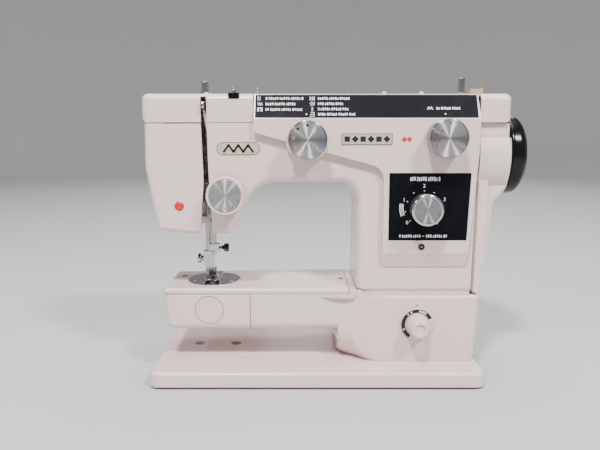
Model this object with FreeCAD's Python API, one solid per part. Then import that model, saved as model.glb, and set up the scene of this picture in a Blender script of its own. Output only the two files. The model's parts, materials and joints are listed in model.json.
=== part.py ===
"""Free-arm zigzag sewing machine with a cream enamelled body, on its own base plate.

Units are millimetres. +X runs to the handwheel, +Y away from the operator, +Z up. The origin is the
bottom centre of the whole machine: the feet stand on Z 0, and X 0 is midway between the left side of
the head and the outer face of the handwheel.
"""
import FreeCAD
import Part
import math
import os

V = FreeCAD.Vector
X_AXIS, Y_AXIS, Z_AXIS = V(1, 0, 0), V(0, 1, 0), V(0, 0, 1)

# ---- driving dimensions -------------------------------------------------------------------------
HALF_LENGTH = 198.5         # head's left side to handwheel's outer face, halved
HALF_DEPTH = 84.0           # base plate, front to back, halved
FOOT_HEIGHT = 2.0
PLATE_TOP = 18.0
PLATE_LEFT, PLATE_RIGHT = -194.0, 154.8
PLATE_CORNER = 10.0

ARM_UNDER, ARM_SEAM, BED_TOP = 52.5, 93.2, 98.5     # heights of the free arm
ARM_LEFT, ARM_FRONT = -183.5, -49.5
ARM_REAR_LEFT, ARM_REAR_RIGHT = 31.0, 42.0          # the free arm widens towards the column
DOOR_RIGHT, BED_RIGHT = -91.0, 14.0

ARM_UNDER_ROUND = 9.0                               # rounding of the arm's lower front edge

BLOCK_FRONT, BLOCK_REAR, BLOCK_TOP = -51.5, 56.0, 91.6
BLOCK_LEFT, BLOCK_RIGHT, BLOCK_CORNER = 3.0, 154.6, 5.0
BLOCK_BOLTS = ((44.0, -30.0), (138.0, -30.0), (44.0, 38.0), (138.0, 38.0))

HEAD_FRONT, HEAD_REAR = -50.0, 38.0                 # front and rear faces of head, arm and column
SEAM_Z, LID_TOP = 272.0, 301.5
HEAD_BOTTOM = 157.5
COLUMN_BOTTOM, COLUMN_LEFT, COLUMN_RIGHT = 93.6, 22.5, 145.0
WALL = 3.5
GAP = 0.6                                           # open seam between neighbouring covers
COVER_RIGHT = 178.5

PANEL_FRONT, PANEL_TOP_Y = -56.0, -43.5             # raised front panel: crest and top edge
PANEL_LEFT, CREST_Z = -84.5, 276.0

SLOT_LEFT, SLOT_RIGHT = -138.2, -132.4              # take-up slot in the head
NEEDLE_X, SHAFT_Y, SHAFT_Z = -134.5, -6.0, 238.3
PRESSER_X, PRESSER_Y = -142.5, 9.5
HOOK_Z, LOWER_SHAFT_Y = 74.6, 14.0
MOTOR_Y, MOTOR_Z = 0.0, 142.0
TENSION = (-113.0, 199.5)
PATTERN = (-29.9, 255.2)
WIDTH = (108.8, 256.8)
LENGTH = (89.2, 186.4)
DROP = (87.5, 60.0)
DIAL_R, DIAL_STEM_R, PLUNGER_R = 19.2, 4.0, 3.5
RUN = 0.05                                          # radial clearance of a running fit

DOOR_PIN, DOOR_PIN_R = (ARM_LEFT + 7.0, 22.0), 1.5  # hinge pins of the hook cover and the face cover
FACE_PIN, FACE_PIN_R = (-191.5, 24.0), 1.5
TAKE_UP, TAKE_PIN_R = (-20.0, 262.0), 3.0           # pivot of the take-up lever (y, z)
LOWER_BUSH_R, LOWER_SHAFT_R, HOOK_SHAFT_R = 7.5, 4.0, 3.0
NEEDLE_BAR_R, PRESSER_R, LIFTER_R, REGULATOR_R = 3.2, 3.5, 3.0, 4.2
BUTTON, BUTTON_R = (-163.0, 186.7), 4.7             # light switch button in the face cover
NAME_PLATE = (4.1, 56.3, 250.0, 261.8)              # left, right, lowest, highest
OVAL_BADGE, OVAL_CORNER = (-123.0, -78.0, 239.6, 253.0), 6.3
STRIP = (-82.6, 142.2, 277.2, 300.2)                # printed strip: left, right, lowest, highest
PANEL_SCREW = (88.8, 145.0)


# ---- helpers ------------------------------------------------------------------------------------
def save(node, *shapes):
    """Writes one node. Several shapes stay separate solids."""
    solids = [s for shape in shapes for s in shape.Solids]
    Part.makeCompound(solids).exportStep(f"parts/{node}.step")


def box(x0, x1, y0, y1, z0, z1):
    return Part.makeBox(x1 - x0, y1 - y0, z1 - z0, V(x0, y0, z0))


def rod(x, y, z, axis, radius, length):
    """A cylinder that starts at x, y, z and runs along axis."""
    return Part.makeCylinder(radius, length, V(x, y, z), axis)


def tube(x, y, z, axis, outer, inner, length):
    return rod(x, y, z, axis, outer, length).cut(rod(x, y, z, axis, inner, length))


def cone(x, y, z, axis, r0, r1, length):
    return Part.makeCone(r0, r1, length, V(x, y, z), axis)


def fuse(*shapes):
    out = shapes[0]
    for s in shapes[1:]:
        out = out.fuse(s)
    return out.removeSplitter()


def cut(shape, *tools):
    for tool in tools:
        shape = shape.cut(tool)
    return shape


def rounded(corners, to3d):
    """Closed face of a polygon whose corners (a, b, radius) are rounded by arcs. to3d places (a, b)."""
    n = len(corners)
    marks = []
    for i, (a, b, r) in enumerate(corners):
        p = V(a, b, 0)
        q0, q1 = (V(*corners[(i + k) % n][:2], 0) - p for k in (-1, 1))
        half = q0.getAngle(q1) / 2
        if r <= 0:
            marks.append((p, None, p))
            continue
        back = r / math.tan(half)
        q0.normalize()
        q1.normalize()
        middle = (q0 + q1).normalize()
        centre = p + middle * (r / math.sin(half))
        marks.append((p + q0 * back, centre - middle * r, p + q1 * back))
    edges = []
    for i, (start, middle, end) in enumerate(marks):
        if middle is not None:
            edges.append(Part.Arc(*(to3d(q.x, q.y) for q in (start, middle, end))).toShape())
        following = marks[(i + 1) % n][0]
        if (following - end).Length > 1e-6:
            edges.append(Part.makeLine(to3d(end.x, end.y), to3d(following.x, following.y)))
    return Part.Face(Part.Wire(edges))


def front_face(corners, y):
    """Face in a plane of constant Y, from (x, z, radius) corners."""
    return rounded(corners, lambda x, z: V(x, y, z))


def plan_face(corners, z):
    """Face in a plane of constant Z, from (x, y, radius) corners."""
    return rounded(corners, lambda x, y: V(x, y, z))


def side_face(corners, x):
    """Face in a plane of constant X, from (y, z, radius) corners."""
    return rounded(corners, lambda y, z: V(x, y, z))


def rectangle(a0, a1, b0, b1, r):
    """Corners of a rectangle, for any of the faces and prisms."""
    return [(a0, b0, r), (a1, b0, r), (a1, b1, r), (a0, b1, r)]


def prism_y(corners, y0, y1):
    return front_face(corners, y0).extrude(V(0, y1 - y0, 0))


def prism_z(corners, z0, z1):
    return plan_face(corners, z0).extrude(V(0, 0, z1 - z0))


def prism_x(corners, x0, x1):
    return side_face(corners, x0).extrude(V(x1 - x0, 0, 0))


def inset_prism(face, distance, direction, offset):
    """The face shrunk by distance, moved by offset and extruded along direction."""
    inner = face.makeOffset2D(-distance)
    inner.translate(offset)
    return inner.extrude(direction)


def soften(shape, radius, test):
    """Fillets the edges whose centre and box pass test, at the largest radius that works."""
    edges = [e for e in shape.Edges if test(e.BoundBox, e)]
    for share in (1.0, 0.8, 0.6, 0.4, 0.25):
        try:
            made = shape.makeFillet(radius * share, edges)
        except Exception:
            continue
        if made.isValid() and made.Volume > 0.5 * shape.Volume:
            if share < 1:
                print("fillet", radius, "made at", round(radius * share, 2))
            return made
    print("no fillet at", radius, "on", len(edges), "edges")
    return shape


def at_y(box_, y, tolerance=0.05):
    return abs(box_.YMin - y) < tolerance and abs(box_.YMax - y) < tolerance


def at_z(box_, z, tolerance=0.05):
    return abs(box_.ZMin - z) < tolerance and abs(box_.ZMax - z) < tolerance


def revolve_x(profile, y, z):
    """Solid of revolution about the X line through (y, z), from (x, r, corner radius) corners."""
    face = rounded(profile, lambda x, r: V(x, y, z + r))
    return face.revolve(V(0, y, z), X_AXIS, 360)


def revolve_y(profile, x, z):
    """Solid of revolution about the Y line through (x, z), from (y, r, corner radius) corners."""
    face = rounded(profile, lambda y, r: V(x, y, z + r))
    return face.revolve(V(x, 0, z), Y_AXIS, 360)


def revolve_z(profile, x, y):
    """Solid of revolution about the Z line through (x, y), from (z, r, corner radius) corners."""
    face = rounded(profile, lambda z, r: V(x + r, y, z))
    return face.revolve(V(x, y, 0), Z_AXIS, 360)


def screw(x, y, z, axis, radius, head, length):
    """Slotted pan-head screw: head outside, shank running back against axis."""
    direction = V(axis)
    tip = V(x, y, z)
    body = Part.makeCylinder(radius, length, tip, direction * -1)
    top = Part.makeCylinder(head, 1.6, tip, direction)
    side = V(0, 0, 1) if abs(direction.z) < 0.5 else V(1, 0, 0)
    across = direction.cross(side)
    slot = Part.makeBox(head * 3, 0.8, 1.0)
    slot.translate(V(-head * 1.5, -0.4, 0))
    turn = FreeCAD.Rotation(side, across * -1, direction, "ZXY")
    slot.Placement = FreeCAD.Placement(tip + direction * 0.8, turn).multiply(slot.Placement)
    return top.cut(slot).fuse(body)


# ---- base ---------------------------------------------------------------------------------------
PLATE_HOLES = ((-154.5, 4.0), (-112.5, 4.0))
PLATE_HOLE_R = 6.0
FOOT_SPOTS = ((PLATE_LEFT + 18, -HALF_DEPTH + 18), (PLATE_LEFT + 18, HALF_DEPTH - 18),
              (PLATE_RIGHT - 18, -HALF_DEPTH + 18), (PLATE_RIGHT - 18, HALF_DEPTH - 18))
PLATE_SKIN = 4.0


def base_plate():
    outline = rectangle(PLATE_LEFT, PLATE_RIGHT, -HALF_DEPTH, HALF_DEPTH, PLATE_CORNER)
    plate = prism_z(outline, FOOT_HEIGHT, PLATE_TOP)
    plate = soften(plate, 3.5, lambda b, e: at_z(b, PLATE_TOP))
    plate = soften(plate, 1.5, lambda b, e: at_z(b, FOOT_HEIGHT))
    inner = inset_prism(plan_face(outline, 0), PLATE_SKIN, V(0, 0, PLATE_TOP - PLATE_SKIN - FOOT_HEIGHT),
                        V(0, 0, FOOT_HEIGHT))
    plate = plate.cut(inner)
    for x, y in FOOT_SPOTS:
        plate = plate.fuse(rod(x, y, FOOT_HEIGHT, Z_AXIS, 8.0, PLATE_TOP - FOOT_HEIGHT - 2))
        plate = plate.cut(rod(x, y, 0, Z_AXIS, 2.2, PLATE_TOP - 6))
    for x, y in PLATE_HOLES:
        plate = plate.cut(rod(x, y, 0, Z_AXIS, PLATE_HOLE_R, PLATE_TOP + 1))
    for x, y in BLOCK_BOLTS:
        plate = plate.fuse(rod(x, y, FOOT_HEIGHT + 3, Z_AXIS, 7.0, PLATE_TOP - FOOT_HEIGHT - 4))
        plate = plate.cut(rod(x, y, 0, Z_AXIS, 2.6, PLATE_TOP + 1))
    save("base_plate", plate.removeSplitter())


def rubber_feet():
    feet = []
    for x, y in FOOT_SPOTS:
        foot = revolve_z([(0, 0, 0), (0, 7.5, 0.6), (FOOT_HEIGHT, 8.0, 0), (FOOT_HEIGHT, 0, 0)], x, y)
        foot = foot.fuse(rod(x, y, FOOT_HEIGHT, Z_AXIS, 2.1, 7.0))
        feet.append(foot)
    save("rubber_feet", *feet)


def base_bolts():
    return [screw(x, y, FOOT_HEIGHT + 3, V(0, 0, -1), 2.5, 4.6, PLATE_TOP - FOOT_HEIGHT + 5)
            for x, y in BLOCK_BOLTS]


# ---- lower housing: free arm and the block under the column ---------------------------------------
ARCH_WIDTH, ARCH_HEIGHT = 24.0, 15.0            # hollow curve from the arm's underside into the block
SCOOP_DEPTH, SCOOP_WIDTH = 45.8, 22.0           # how far the block's front left corner is swept away


def arm_plan(left, front, r, shrink=0.0):
    """Plan outline of the free arm, widening towards the column."""
    end = BED_RIGHT + 6
    return [(left + shrink, front + shrink, r), (end, front + shrink, 0),
            (end, ARM_REAR_RIGHT + 0.3 - shrink, 0),
            (BED_RIGHT, ARM_REAR_RIGHT - shrink, 0), (left + shrink, ARM_REAR_LEFT - shrink, r)]


def block_outline(z, lean, scoop, shrink=0.0):
    """Plan outline of the block at one height. scoop is the share of its front left corner swept away:
    with none, the front runs into the free arm's front in a shallow S."""
    right = BLOCK_RIGHT - lean - shrink
    front, rear, left = BLOCK_FRONT + shrink, BLOCK_REAR - shrink, BLOCK_LEFT + shrink
    deep = front + ARM_FRONT - BLOCK_FRONT + 0.2 + scoop * SCOOP_DEPTH
    wide = left + 30.0 + scoop * SCOOP_WIDTH
    if scoop:
        start, shares = V(0, -1, 0), ((0.14, 0.55), (0.42, 0.32))
    else:
        start, shares = X_AXIS, ((0.35, 0.72), (0.65, 0.28))
    between = [V(left + a * (wide - left), front + b * (deep - front), z) for a, b in shares]
    sweep = Part.BSplineCurve()
    sweep.interpolate([V(left, deep, z), *between, V(wide, front, z)],
                      InitialTangent=start, FinalTangent=X_AXIS)
    r = BLOCK_CORNER - shrink / 2
    bend = r * (1 - math.sqrt(0.5))
    turns = []
    for y, side in ((front, 1), (rear, -1)):
        corner = Part.Arc(V(right - r, y, z), V(right - bend, y + side * bend, z),
                          V(right, y + side * r, z))
        turns.append(corner.toShape())
    runs = [(V(wide, front, z), V(right - r, front, z)), (V(right, front + r, z), V(right, rear - r, z)),
            (V(right - r, rear, z), V(left, rear, z)), (V(left, rear, z), V(left, deep, z))]
    front_run, right_run, rear_run, left_run = (Part.makeLine(a, b) for a, b in runs)
    return Part.Wire([sweep.toShape(), front_run, turns[0], right_run, turns[1], rear_run, left_run])


def block_solid(shrink=0.0, low=PLATE_TOP, high=ARM_UNDER + 6):
    lower = block_outline(low, 4.6, 1.0, shrink)
    middle = block_outline((low + high) / 2, 3.3, 0.18, shrink)
    upper = block_outline(high, 2.1, 0.0, shrink)
    return Part.makeLoft([lower, middle, upper], True, False)


def underside_arch():
    """Fills the corner under the arm, left of the block, down to a quarter ellipse."""
    x0, z0 = BLOCK_LEFT - ARCH_WIDTH, ARM_UNDER - ARCH_HEIGHT
    front, rear = ARM_FRONT + ARM_UNDER_ROUND, ARM_REAR_RIGHT - 2.5
    block = box(x0, BLOCK_LEFT + 1, front, rear, z0, ARM_UNDER + 1)
    curve = Part.Ellipse(V(x0 + ARCH_WIDTH, front - 1, z0), V(x0, front - 1, z0 + ARCH_HEIGHT),
                         V(x0, front - 1, z0))
    hollow = Part.Face(Part.Wire(curve.toShape())).extrude(V(0, rear - front + 2, 0))
    return block.cut(hollow)


def lower_housing():
    z_mid = ARM_UNDER + 6
    upper = block_outline(z_mid, 2.1, 0.0)
    top = block_outline(BLOCK_TOP, 0.0, 0.0)
    body = fuse(block_solid(), Part.makeLoft([upper, top], True, True))
    body = soften(body, 4.0, lambda b, e: at_z(b, BLOCK_TOP) and b.XMax > 60)
    arm = prism_z(arm_plan(DOOR_RIGHT + GAP, ARM_FRONT, 0), ARM_UNDER, ARM_SEAM)
    arm = soften(arm, ARM_UNDER_ROUND, lambda b, e: at_z(b, ARM_UNDER) and at_y(b, ARM_FRONT))
    crown = prism_y([(BED_RIGHT + GAP, BLOCK_TOP - 2, 0), (BED_RIGHT + GAP, BED_TOP, 1),
                     (26, BED_TOP - 0.8, 14), (39, BLOCK_TOP, 10), (50, BLOCK_TOP, 0),
                     (50, BLOCK_TOP - 2, 0)], BLOCK_FRONT + 0.6, HEAD_REAR)
    crown = crown.cut(box(COLUMN_LEFT - 0.2, 60, HEAD_FRONT - 0.2, 60, COLUMN_BOTTOM - 2, 120))
    body = fuse(body, arm, crown, underside_arch())
    # finger ledge in front of the bed plate's right end
    ledge = prism_z([(-19.0, ARM_FRONT + 0.5, 0), (-2.0, -53.6, 60), (18.0, -54.6, 8),
                     (24.5, ARM_FRONT + 0.5, 0)], 88.2, ARM_SEAM - 0.4)
    ledge = soften(ledge, 1.4, lambda b, e: at_z(b, 88.2) and b.YMin < ARM_FRONT)
    body = body.fuse(ledge)
    # the hollows: block, free arm, and the way up into the column
    inside = block_solid(WALL + 1.0, PLATE_TOP - 1, z_mid)
    body = cut(body, inside,
               box(10, BLOCK_RIGHT - 6, BLOCK_FRONT + 7, BLOCK_REAR - 4.5, z_mid - 0.5, BLOCK_TOP - 4))
    arm_hollow = prism_z(arm_plan(DOOR_RIGHT - 5, ARM_FRONT, 0, WALL), ARM_UNDER + 4, ARM_SEAM + 1)
    arm_hollow = arm_hollow.common(box(-200, BED_RIGHT - 2, -60, 60, 0, 100))
    through = box(BED_RIGHT - 6, 40, -40, 32, ARM_UNDER + 6, BLOCK_TOP - 4)
    window = box(COLUMN_LEFT + 5, 136, -40, 30, BLOCK_TOP - 6, BED_TOP + 2)
    body = cut(body, arm_hollow, through, window)
    # hook end: floor, rear wall and the frame that carries the hook and the door pin
    floor = prism_z([(ARM_LEFT + 9.6, ARM_FRONT + 9.6, 6), (DOOR_RIGHT + 1, ARM_FRONT + 9.6, 0),
                     (DOOR_RIGHT + 1, 30, 0), (ARM_LEFT + 9.6, 27.5, 4)], ARM_UNDER + 2.5, ARM_UNDER + 6)
    rear = prism_z([(ARM_LEFT + 16, 27.2, 0), (DOOR_RIGHT + 1, 31.0, 0), (DOOR_RIGHT + 1, 35.2, 0),
                    (ARM_LEFT + 16, 31.4, 0)], ARM_UNDER + 2.5, ARM_SEAM)
    web = box(-110.0, -105.0, -12, 33, ARM_UNDER + 4, HOOK_Z + 12)
    hinge_arm = fuse(box(ARM_LEFT + 7.5, ARM_LEFT + 18, 19.0, 30.5, ARM_UNDER + 2.5, ARM_UNDER + 6),
                     rod(*DOOR_PIN, ARM_UNDER + 2.5, Z_AXIS, 4.0, 3.5))
    hook_post = box(NEEDLE_X - 8, NEEDLE_X + 8, 26.2, 29, ARM_UNDER + 4, HOOK_Z + 9)
    body = fuse(body, floor, rear, web, hinge_arm, hook_post)
    body = cut(body, rod(-116, LOWER_SHAFT_Y, HOOK_Z, X_AXIS, LOWER_BUSH_R, 20),
               rod(NEEDLE_X, 12, HOOK_Z, Y_AXIS, HOOK_SHAFT_R + RUN, 19.2),
               rod(*DOOR_PIN, ARM_UNDER, Z_AXIS, DOOR_PIN_R, 20),
               rod(DROP[0], BLOCK_FRONT - 1, DROP[1], Y_AXIS, DIAL_STEM_R + RUN, 12),
               inlet_recess())
    for x, y in BLOCK_BOLTS:
        post = rod(x, y, PLATE_TOP, Z_AXIS, 6.0, 14.0)
        body = body.fuse(post).cut(rod(x, y, PLATE_TOP - 1, Z_AXIS, 2.5, 9.0))
    save("lower_housing", body.removeSplitter())


def inlet_recess():
    """Recess for the mains inlet in the block's right side."""
    return box(BLOCK_RIGHT - 14, BLOCK_RIGHT + 3, 6.0, 34.0, 32.0, 52.0)


def power_inlet():
    shell = box(BLOCK_RIGHT - 20, BLOCK_RIGHT - 3.6, 6.2, 33.8, 32.2, 51.8)
    shell = shell.cut(box(BLOCK_RIGHT - 17, BLOCK_RIGHT, 9.0, 31.0, 35.0, 49.0))
    pins = [rod(BLOCK_RIGHT - 18, y, 42.0, X_AXIS, 1.6, 11) for y in (14.0, 20.0, 26.0)]
    save("power_inlet", fuse(shell, *pins))


def hook_cover():
    """Hinged cover round the hook: front wall, left end wall and the lower edge."""
    side = [(ARM_LEFT + 2.6, ARM_UNDER, 8), (DOOR_RIGHT, ARM_UNDER, 0), (DOOR_RIGHT, ARM_SEAM - GAP, 0),
            (ARM_LEFT, ARM_SEAM - GAP, 0), (ARM_LEFT, 72, 40)]
    solid = prism_y(side, ARM_FRONT, 26.0)
    solid = soften(solid, 8.0, lambda b, e: b.YMax < ARM_FRONT + 0.1 and (
        at_z(b, ARM_UNDER) or b.XMax < ARM_LEFT + 12))
    hollow = prism_y([(ARM_LEFT + 6.4, ARM_UNDER + 2.2, 5), (DOOR_RIGHT + 1, ARM_UNDER + 2.2, 0),
                      (DOOR_RIGHT + 1, 120, 0), (ARM_LEFT + 3.0, 120, 0), (ARM_LEFT + 3.0, 76, 30)],
                     ARM_FRONT + 2.6, 40.0)
    open_floor = box(ARM_LEFT + 9.0, DOOR_RIGHT + 1, ARM_FRONT + 9.0, 40, 0, ARM_UNDER + 12)
    hinge_room = box(ARM_LEFT - 5, ARM_LEFT + 20, 14.0, 40, 0, ARM_UNDER + 7.5)
    cover = cut(solid, hollow, open_floor, hinge_room)
    heights = (ARM_UNDER + 8.5, ARM_SEAM - 10.0)
    knuckles = [rod(*DOOR_PIN, z, Z_AXIS, 3.6, 8.0) for z in heights]
    straps = [box(ARM_LEFT + 1.5, DOOR_PIN[0], DOOR_PIN[1] - 2, DOOR_PIN[1] + 2, z, z + 8.0)
              for z in heights]
    cover = cut(fuse(cover, *knuckles, *straps), rod(*DOOR_PIN, 0, Z_AXIS, DOOR_PIN_R + RUN, 200))
    ring = tube(NEEDLE_X, ARM_FRONT - 0.1, HOOK_Z, Y_AXIS, 15.6, 14.6, 1.0)
    cover = cover.cut(ring)
    save("hook_cover", cover)


def hinge_and_pivot_pins():
    return [rod(*DOOR_PIN, ARM_UNDER + 2.6, Z_AXIS, DOOR_PIN_R, ARM_SEAM - ARM_UNDER - 3.4),
            rod(*FACE_PIN, 174.0, Z_AXIS, FACE_PIN_R, 80.0),
            rod(-138.6, *TAKE_UP, X_AXIS, TAKE_PIN_R, 43.6)]


def screws_and_pins():
    """All fixed fasteners and pivot pins of the body, as separate solids of one node."""
    save("screws_and_pins", *base_bolts(), *bed_screws(), *needle_plate_screws(), *rear_cover_screws(),
         panel_screw(), winder_stop_screw(), *hinge_and_pivot_pins())


# ---- free-arm bed -------------------------------------------------------------------------------
NEEDLE_PLATE_R = 29.3
BED_SCREWS = ((-170.9, 6.3), (8.9, -5.3))
FEED_SLOTS = (-5.4, -2.2, 2.2, 5.4)
SLOT_Y = (-18.0, 8.0)


def bed_plate():
    plate = prism_z([(ARM_LEFT, ARM_FRONT - 0.6, 5), (BED_RIGHT, ARM_FRONT - 0.6, 0),
                     (BED_RIGHT, ARM_REAR_RIGHT, 0), (ARM_LEFT, ARM_REAR_LEFT, 6)], ARM_SEAM, BED_TOP)
    plate = soften(plate, 3.2, lambda b, e: at_z(b, BED_TOP) and b.XMin < BED_RIGHT - 1)
    hollow = prism_z([(ARM_LEFT + 3, ARM_FRONT + 2.5, 3), (BED_RIGHT - 3, ARM_FRONT + 2.5, 0),
                      (BED_RIGHT - 3, ARM_REAR_RIGHT - 3.2, 0), (ARM_LEFT + 3, ARM_REAR_LEFT - 3, 3)],
                     ARM_SEAM - 1, BED_TOP - 2.6)
    seat = rod(NEEDLE_X, SHAFT_Y - 1, 0, Z_AXIS, NEEDLE_PLATE_R - 3.0, 200)
    pocket = rod(NEEDLE_X, SHAFT_Y - 1, BED_TOP - 1.6, Z_AXIS, NEEDLE_PLATE_R + 0.15, 10)
    plate = cut(plate, hollow, seat, pocket)
    for x, y in BED_SCREWS:
        plate = plate.fuse(rod(x, y, ARM_SEAM + 0.5, Z_AXIS, 5.0, 3.5))
        plate = cut(plate, rod(x, y, 0, Z_AXIS, 1.6, 200), cone(x, y, BED_TOP - 1.6, Z_AXIS, 1.6, 3.4, 1.8))
    save("bed_plate", plate.removeSplitter())


def bed_screws():
    made = []
    for x, y in BED_SCREWS:
        head = cone(x, y, BED_TOP - 1.6, Z_AXIS, 1.4, 3.0, 1.6)
        head = head.cut(box(x - 5, x + 5, y - 0.4, y + 0.4, BED_TOP - 0.9, BED_TOP))
        made.append(head.fuse(rod(x, y, BED_TOP - 7.5, Z_AXIS, 1.4, 5.8)))
    return made


def needle_plate():
    x, y = NEEDLE_X, SHAFT_Y - 1
    plate = rod(x, y, BED_TOP - 1.6, Z_AXIS, NEEDLE_PLATE_R, 1.9)
    plate = soften(plate, 0.5, lambda b, e: at_z(b, BED_TOP + 0.3))
    tools = [prism_z(rectangle(x - 3.4, x + 3.4, SHAFT_Y - 0.9, SHAFT_Y + 0.9, 0.85), 0, 200)]
    for dx in FEED_SLOTS:
        short = abs(dx) < 4
        y1 = SLOT_Y[1] if not short else SHAFT_Y - 2.6
        tools.append(prism_z(rectangle(x + dx - 1.1, x + dx + 1.1, SLOT_Y[0], y1, 1.05), 0, 200))
        if short:
            behind = rectangle(x + dx - 1.1, x + dx + 1.1, SHAFT_Y + 2.6, SLOT_Y[1], 1.05)
            tools.append(prism_z(behind, 0, 200))
    for dx in (-20.0, 20.0):
        tools.append(rod(x + dx, y - 12.0, BED_TOP - 1.0, Z_AXIS, 2.9, 4))
        tools.append(rod(x + dx, y - 12.0, 0, Z_AXIS, 1.5, 200))
    # guide lines on the right for seam widths
    for i in range(4):
        tools.append(box(x + 11 + 4 * i, x + 11.4 + 4 * i, y - 4.0, y + 9.0, BED_TOP + 0.15, 200))
    save("needle_plate", cut(plate, *tools))


def needle_plate_screws():
    made = []
    for dx in (-20.0, 20.0):
        x, y = NEEDLE_X + dx, SHAFT_Y - 13.0
        head = rod(x, y, BED_TOP - 0.9, Z_AXIS, 2.7, 1.1).cut(
            box(x - 4, x + 4, y - 0.4, y + 0.4, BED_TOP - 0.3, BED_TOP + 1))
        made.append(head.fuse(rod(x, y, BED_TOP - 4.0, Z_AXIS, 1.4, 3.5)))
    return made


def feed_parts():
    x = NEEDLE_X
    top = BED_TOP + 1.1
    carrier = box(x - 7, x + 7, -16.6, 5.6, BED_TOP - 4.4, BED_TOP - 2.8)
    rows = []
    for dx in FEED_SLOTS:
        spans = [(-15.5, 4.5)] if abs(dx) > 4 else [(-15.5, SHAFT_Y - 5.0), (SHAFT_Y + 5.2, 4.5)]
        for y0, y1 in spans:
            row = box(x + dx - 0.75, x + dx + 0.75, y0, y1, BED_TOP - 3, top)
            teeth = [prism_x([(y0 + k * 1.5, top + 0.1, 0), (y0 + (k + 1) * 1.5, top + 0.1, 0),
                              (y0 + (k + 1) * 1.5, top - 0.7, 0)], x - 10, x + 10)
                     for k in range(int((y1 - y0) / 1.5))]
            rows.append(cut(row, *teeth))
    dog = fuse(carrier, *rows)
    dog = dog.cut(box(x - 3.6, x + 3.6, SHAFT_Y - 3.6, SHAFT_Y + 3.6, 0, 200))
    save("feed_dog", dog)
    low, high = BED_TOP - 9.0, BED_TOP - 7.4
    bar = box(x + 9, -20, -16.0, 5.0, low, high)
    bar = bar.cut(box(-118, -26, -10.0, -1.0, 0, 200))
    rails = [box(x - 10, x + 10, y0, y0 + 3, low, high) for y0 in (-16.0, 2.0)]
    save("feed_bar", fuse(bar, *rails))


# ---- hook and lower drive -------------------------------------------------------------------------
HOOK_R = 15.2
GEAR_LARGE, GEAR_SMALL = 12.0, 6.0      # pitch radii of the bevel pair: the hook turns twice as fast


def bevel(apex, axis, radius, partner, near, teeth, trim):
    """Bevel gear whose pitch cone has its apex at apex: radius at axial distance partner."""
    direction = V(axis)
    slope = radius / partner
    blank = Part.makeCone(near * slope - trim, radius - trim, partner - near,
                          apex + direction * near, direction)
    side = V(0, 0, 1)
    for i in range(teeth):
        notch = Part.makeBox(radius, 0.5, partner - near + 2, V(radius - trim - 1.1, -0.25, -1))
        out = FreeCAD.Rotation(direction, 360.0 * i / teeth).multVec(side)
        turn = FreeCAD.Rotation(out, direction.cross(out), direction, "XYZ")
        lean = FreeCAD.Rotation(V(0, 1, 0), math.degrees(math.atan(slope)))
        place = FreeCAD.Placement(apex + direction * partner, turn)
        shift = FreeCAD.Placement(V(-(partner - near) * slope / 2 + 0.4, 0, -(partner - near) / 2),
                                  FreeCAD.Rotation())
        notch.Placement = place.multiply(shift).multiply(FreeCAD.Placement(V(), lean))
        blank = blank.cut(notch)
    return blank


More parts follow.
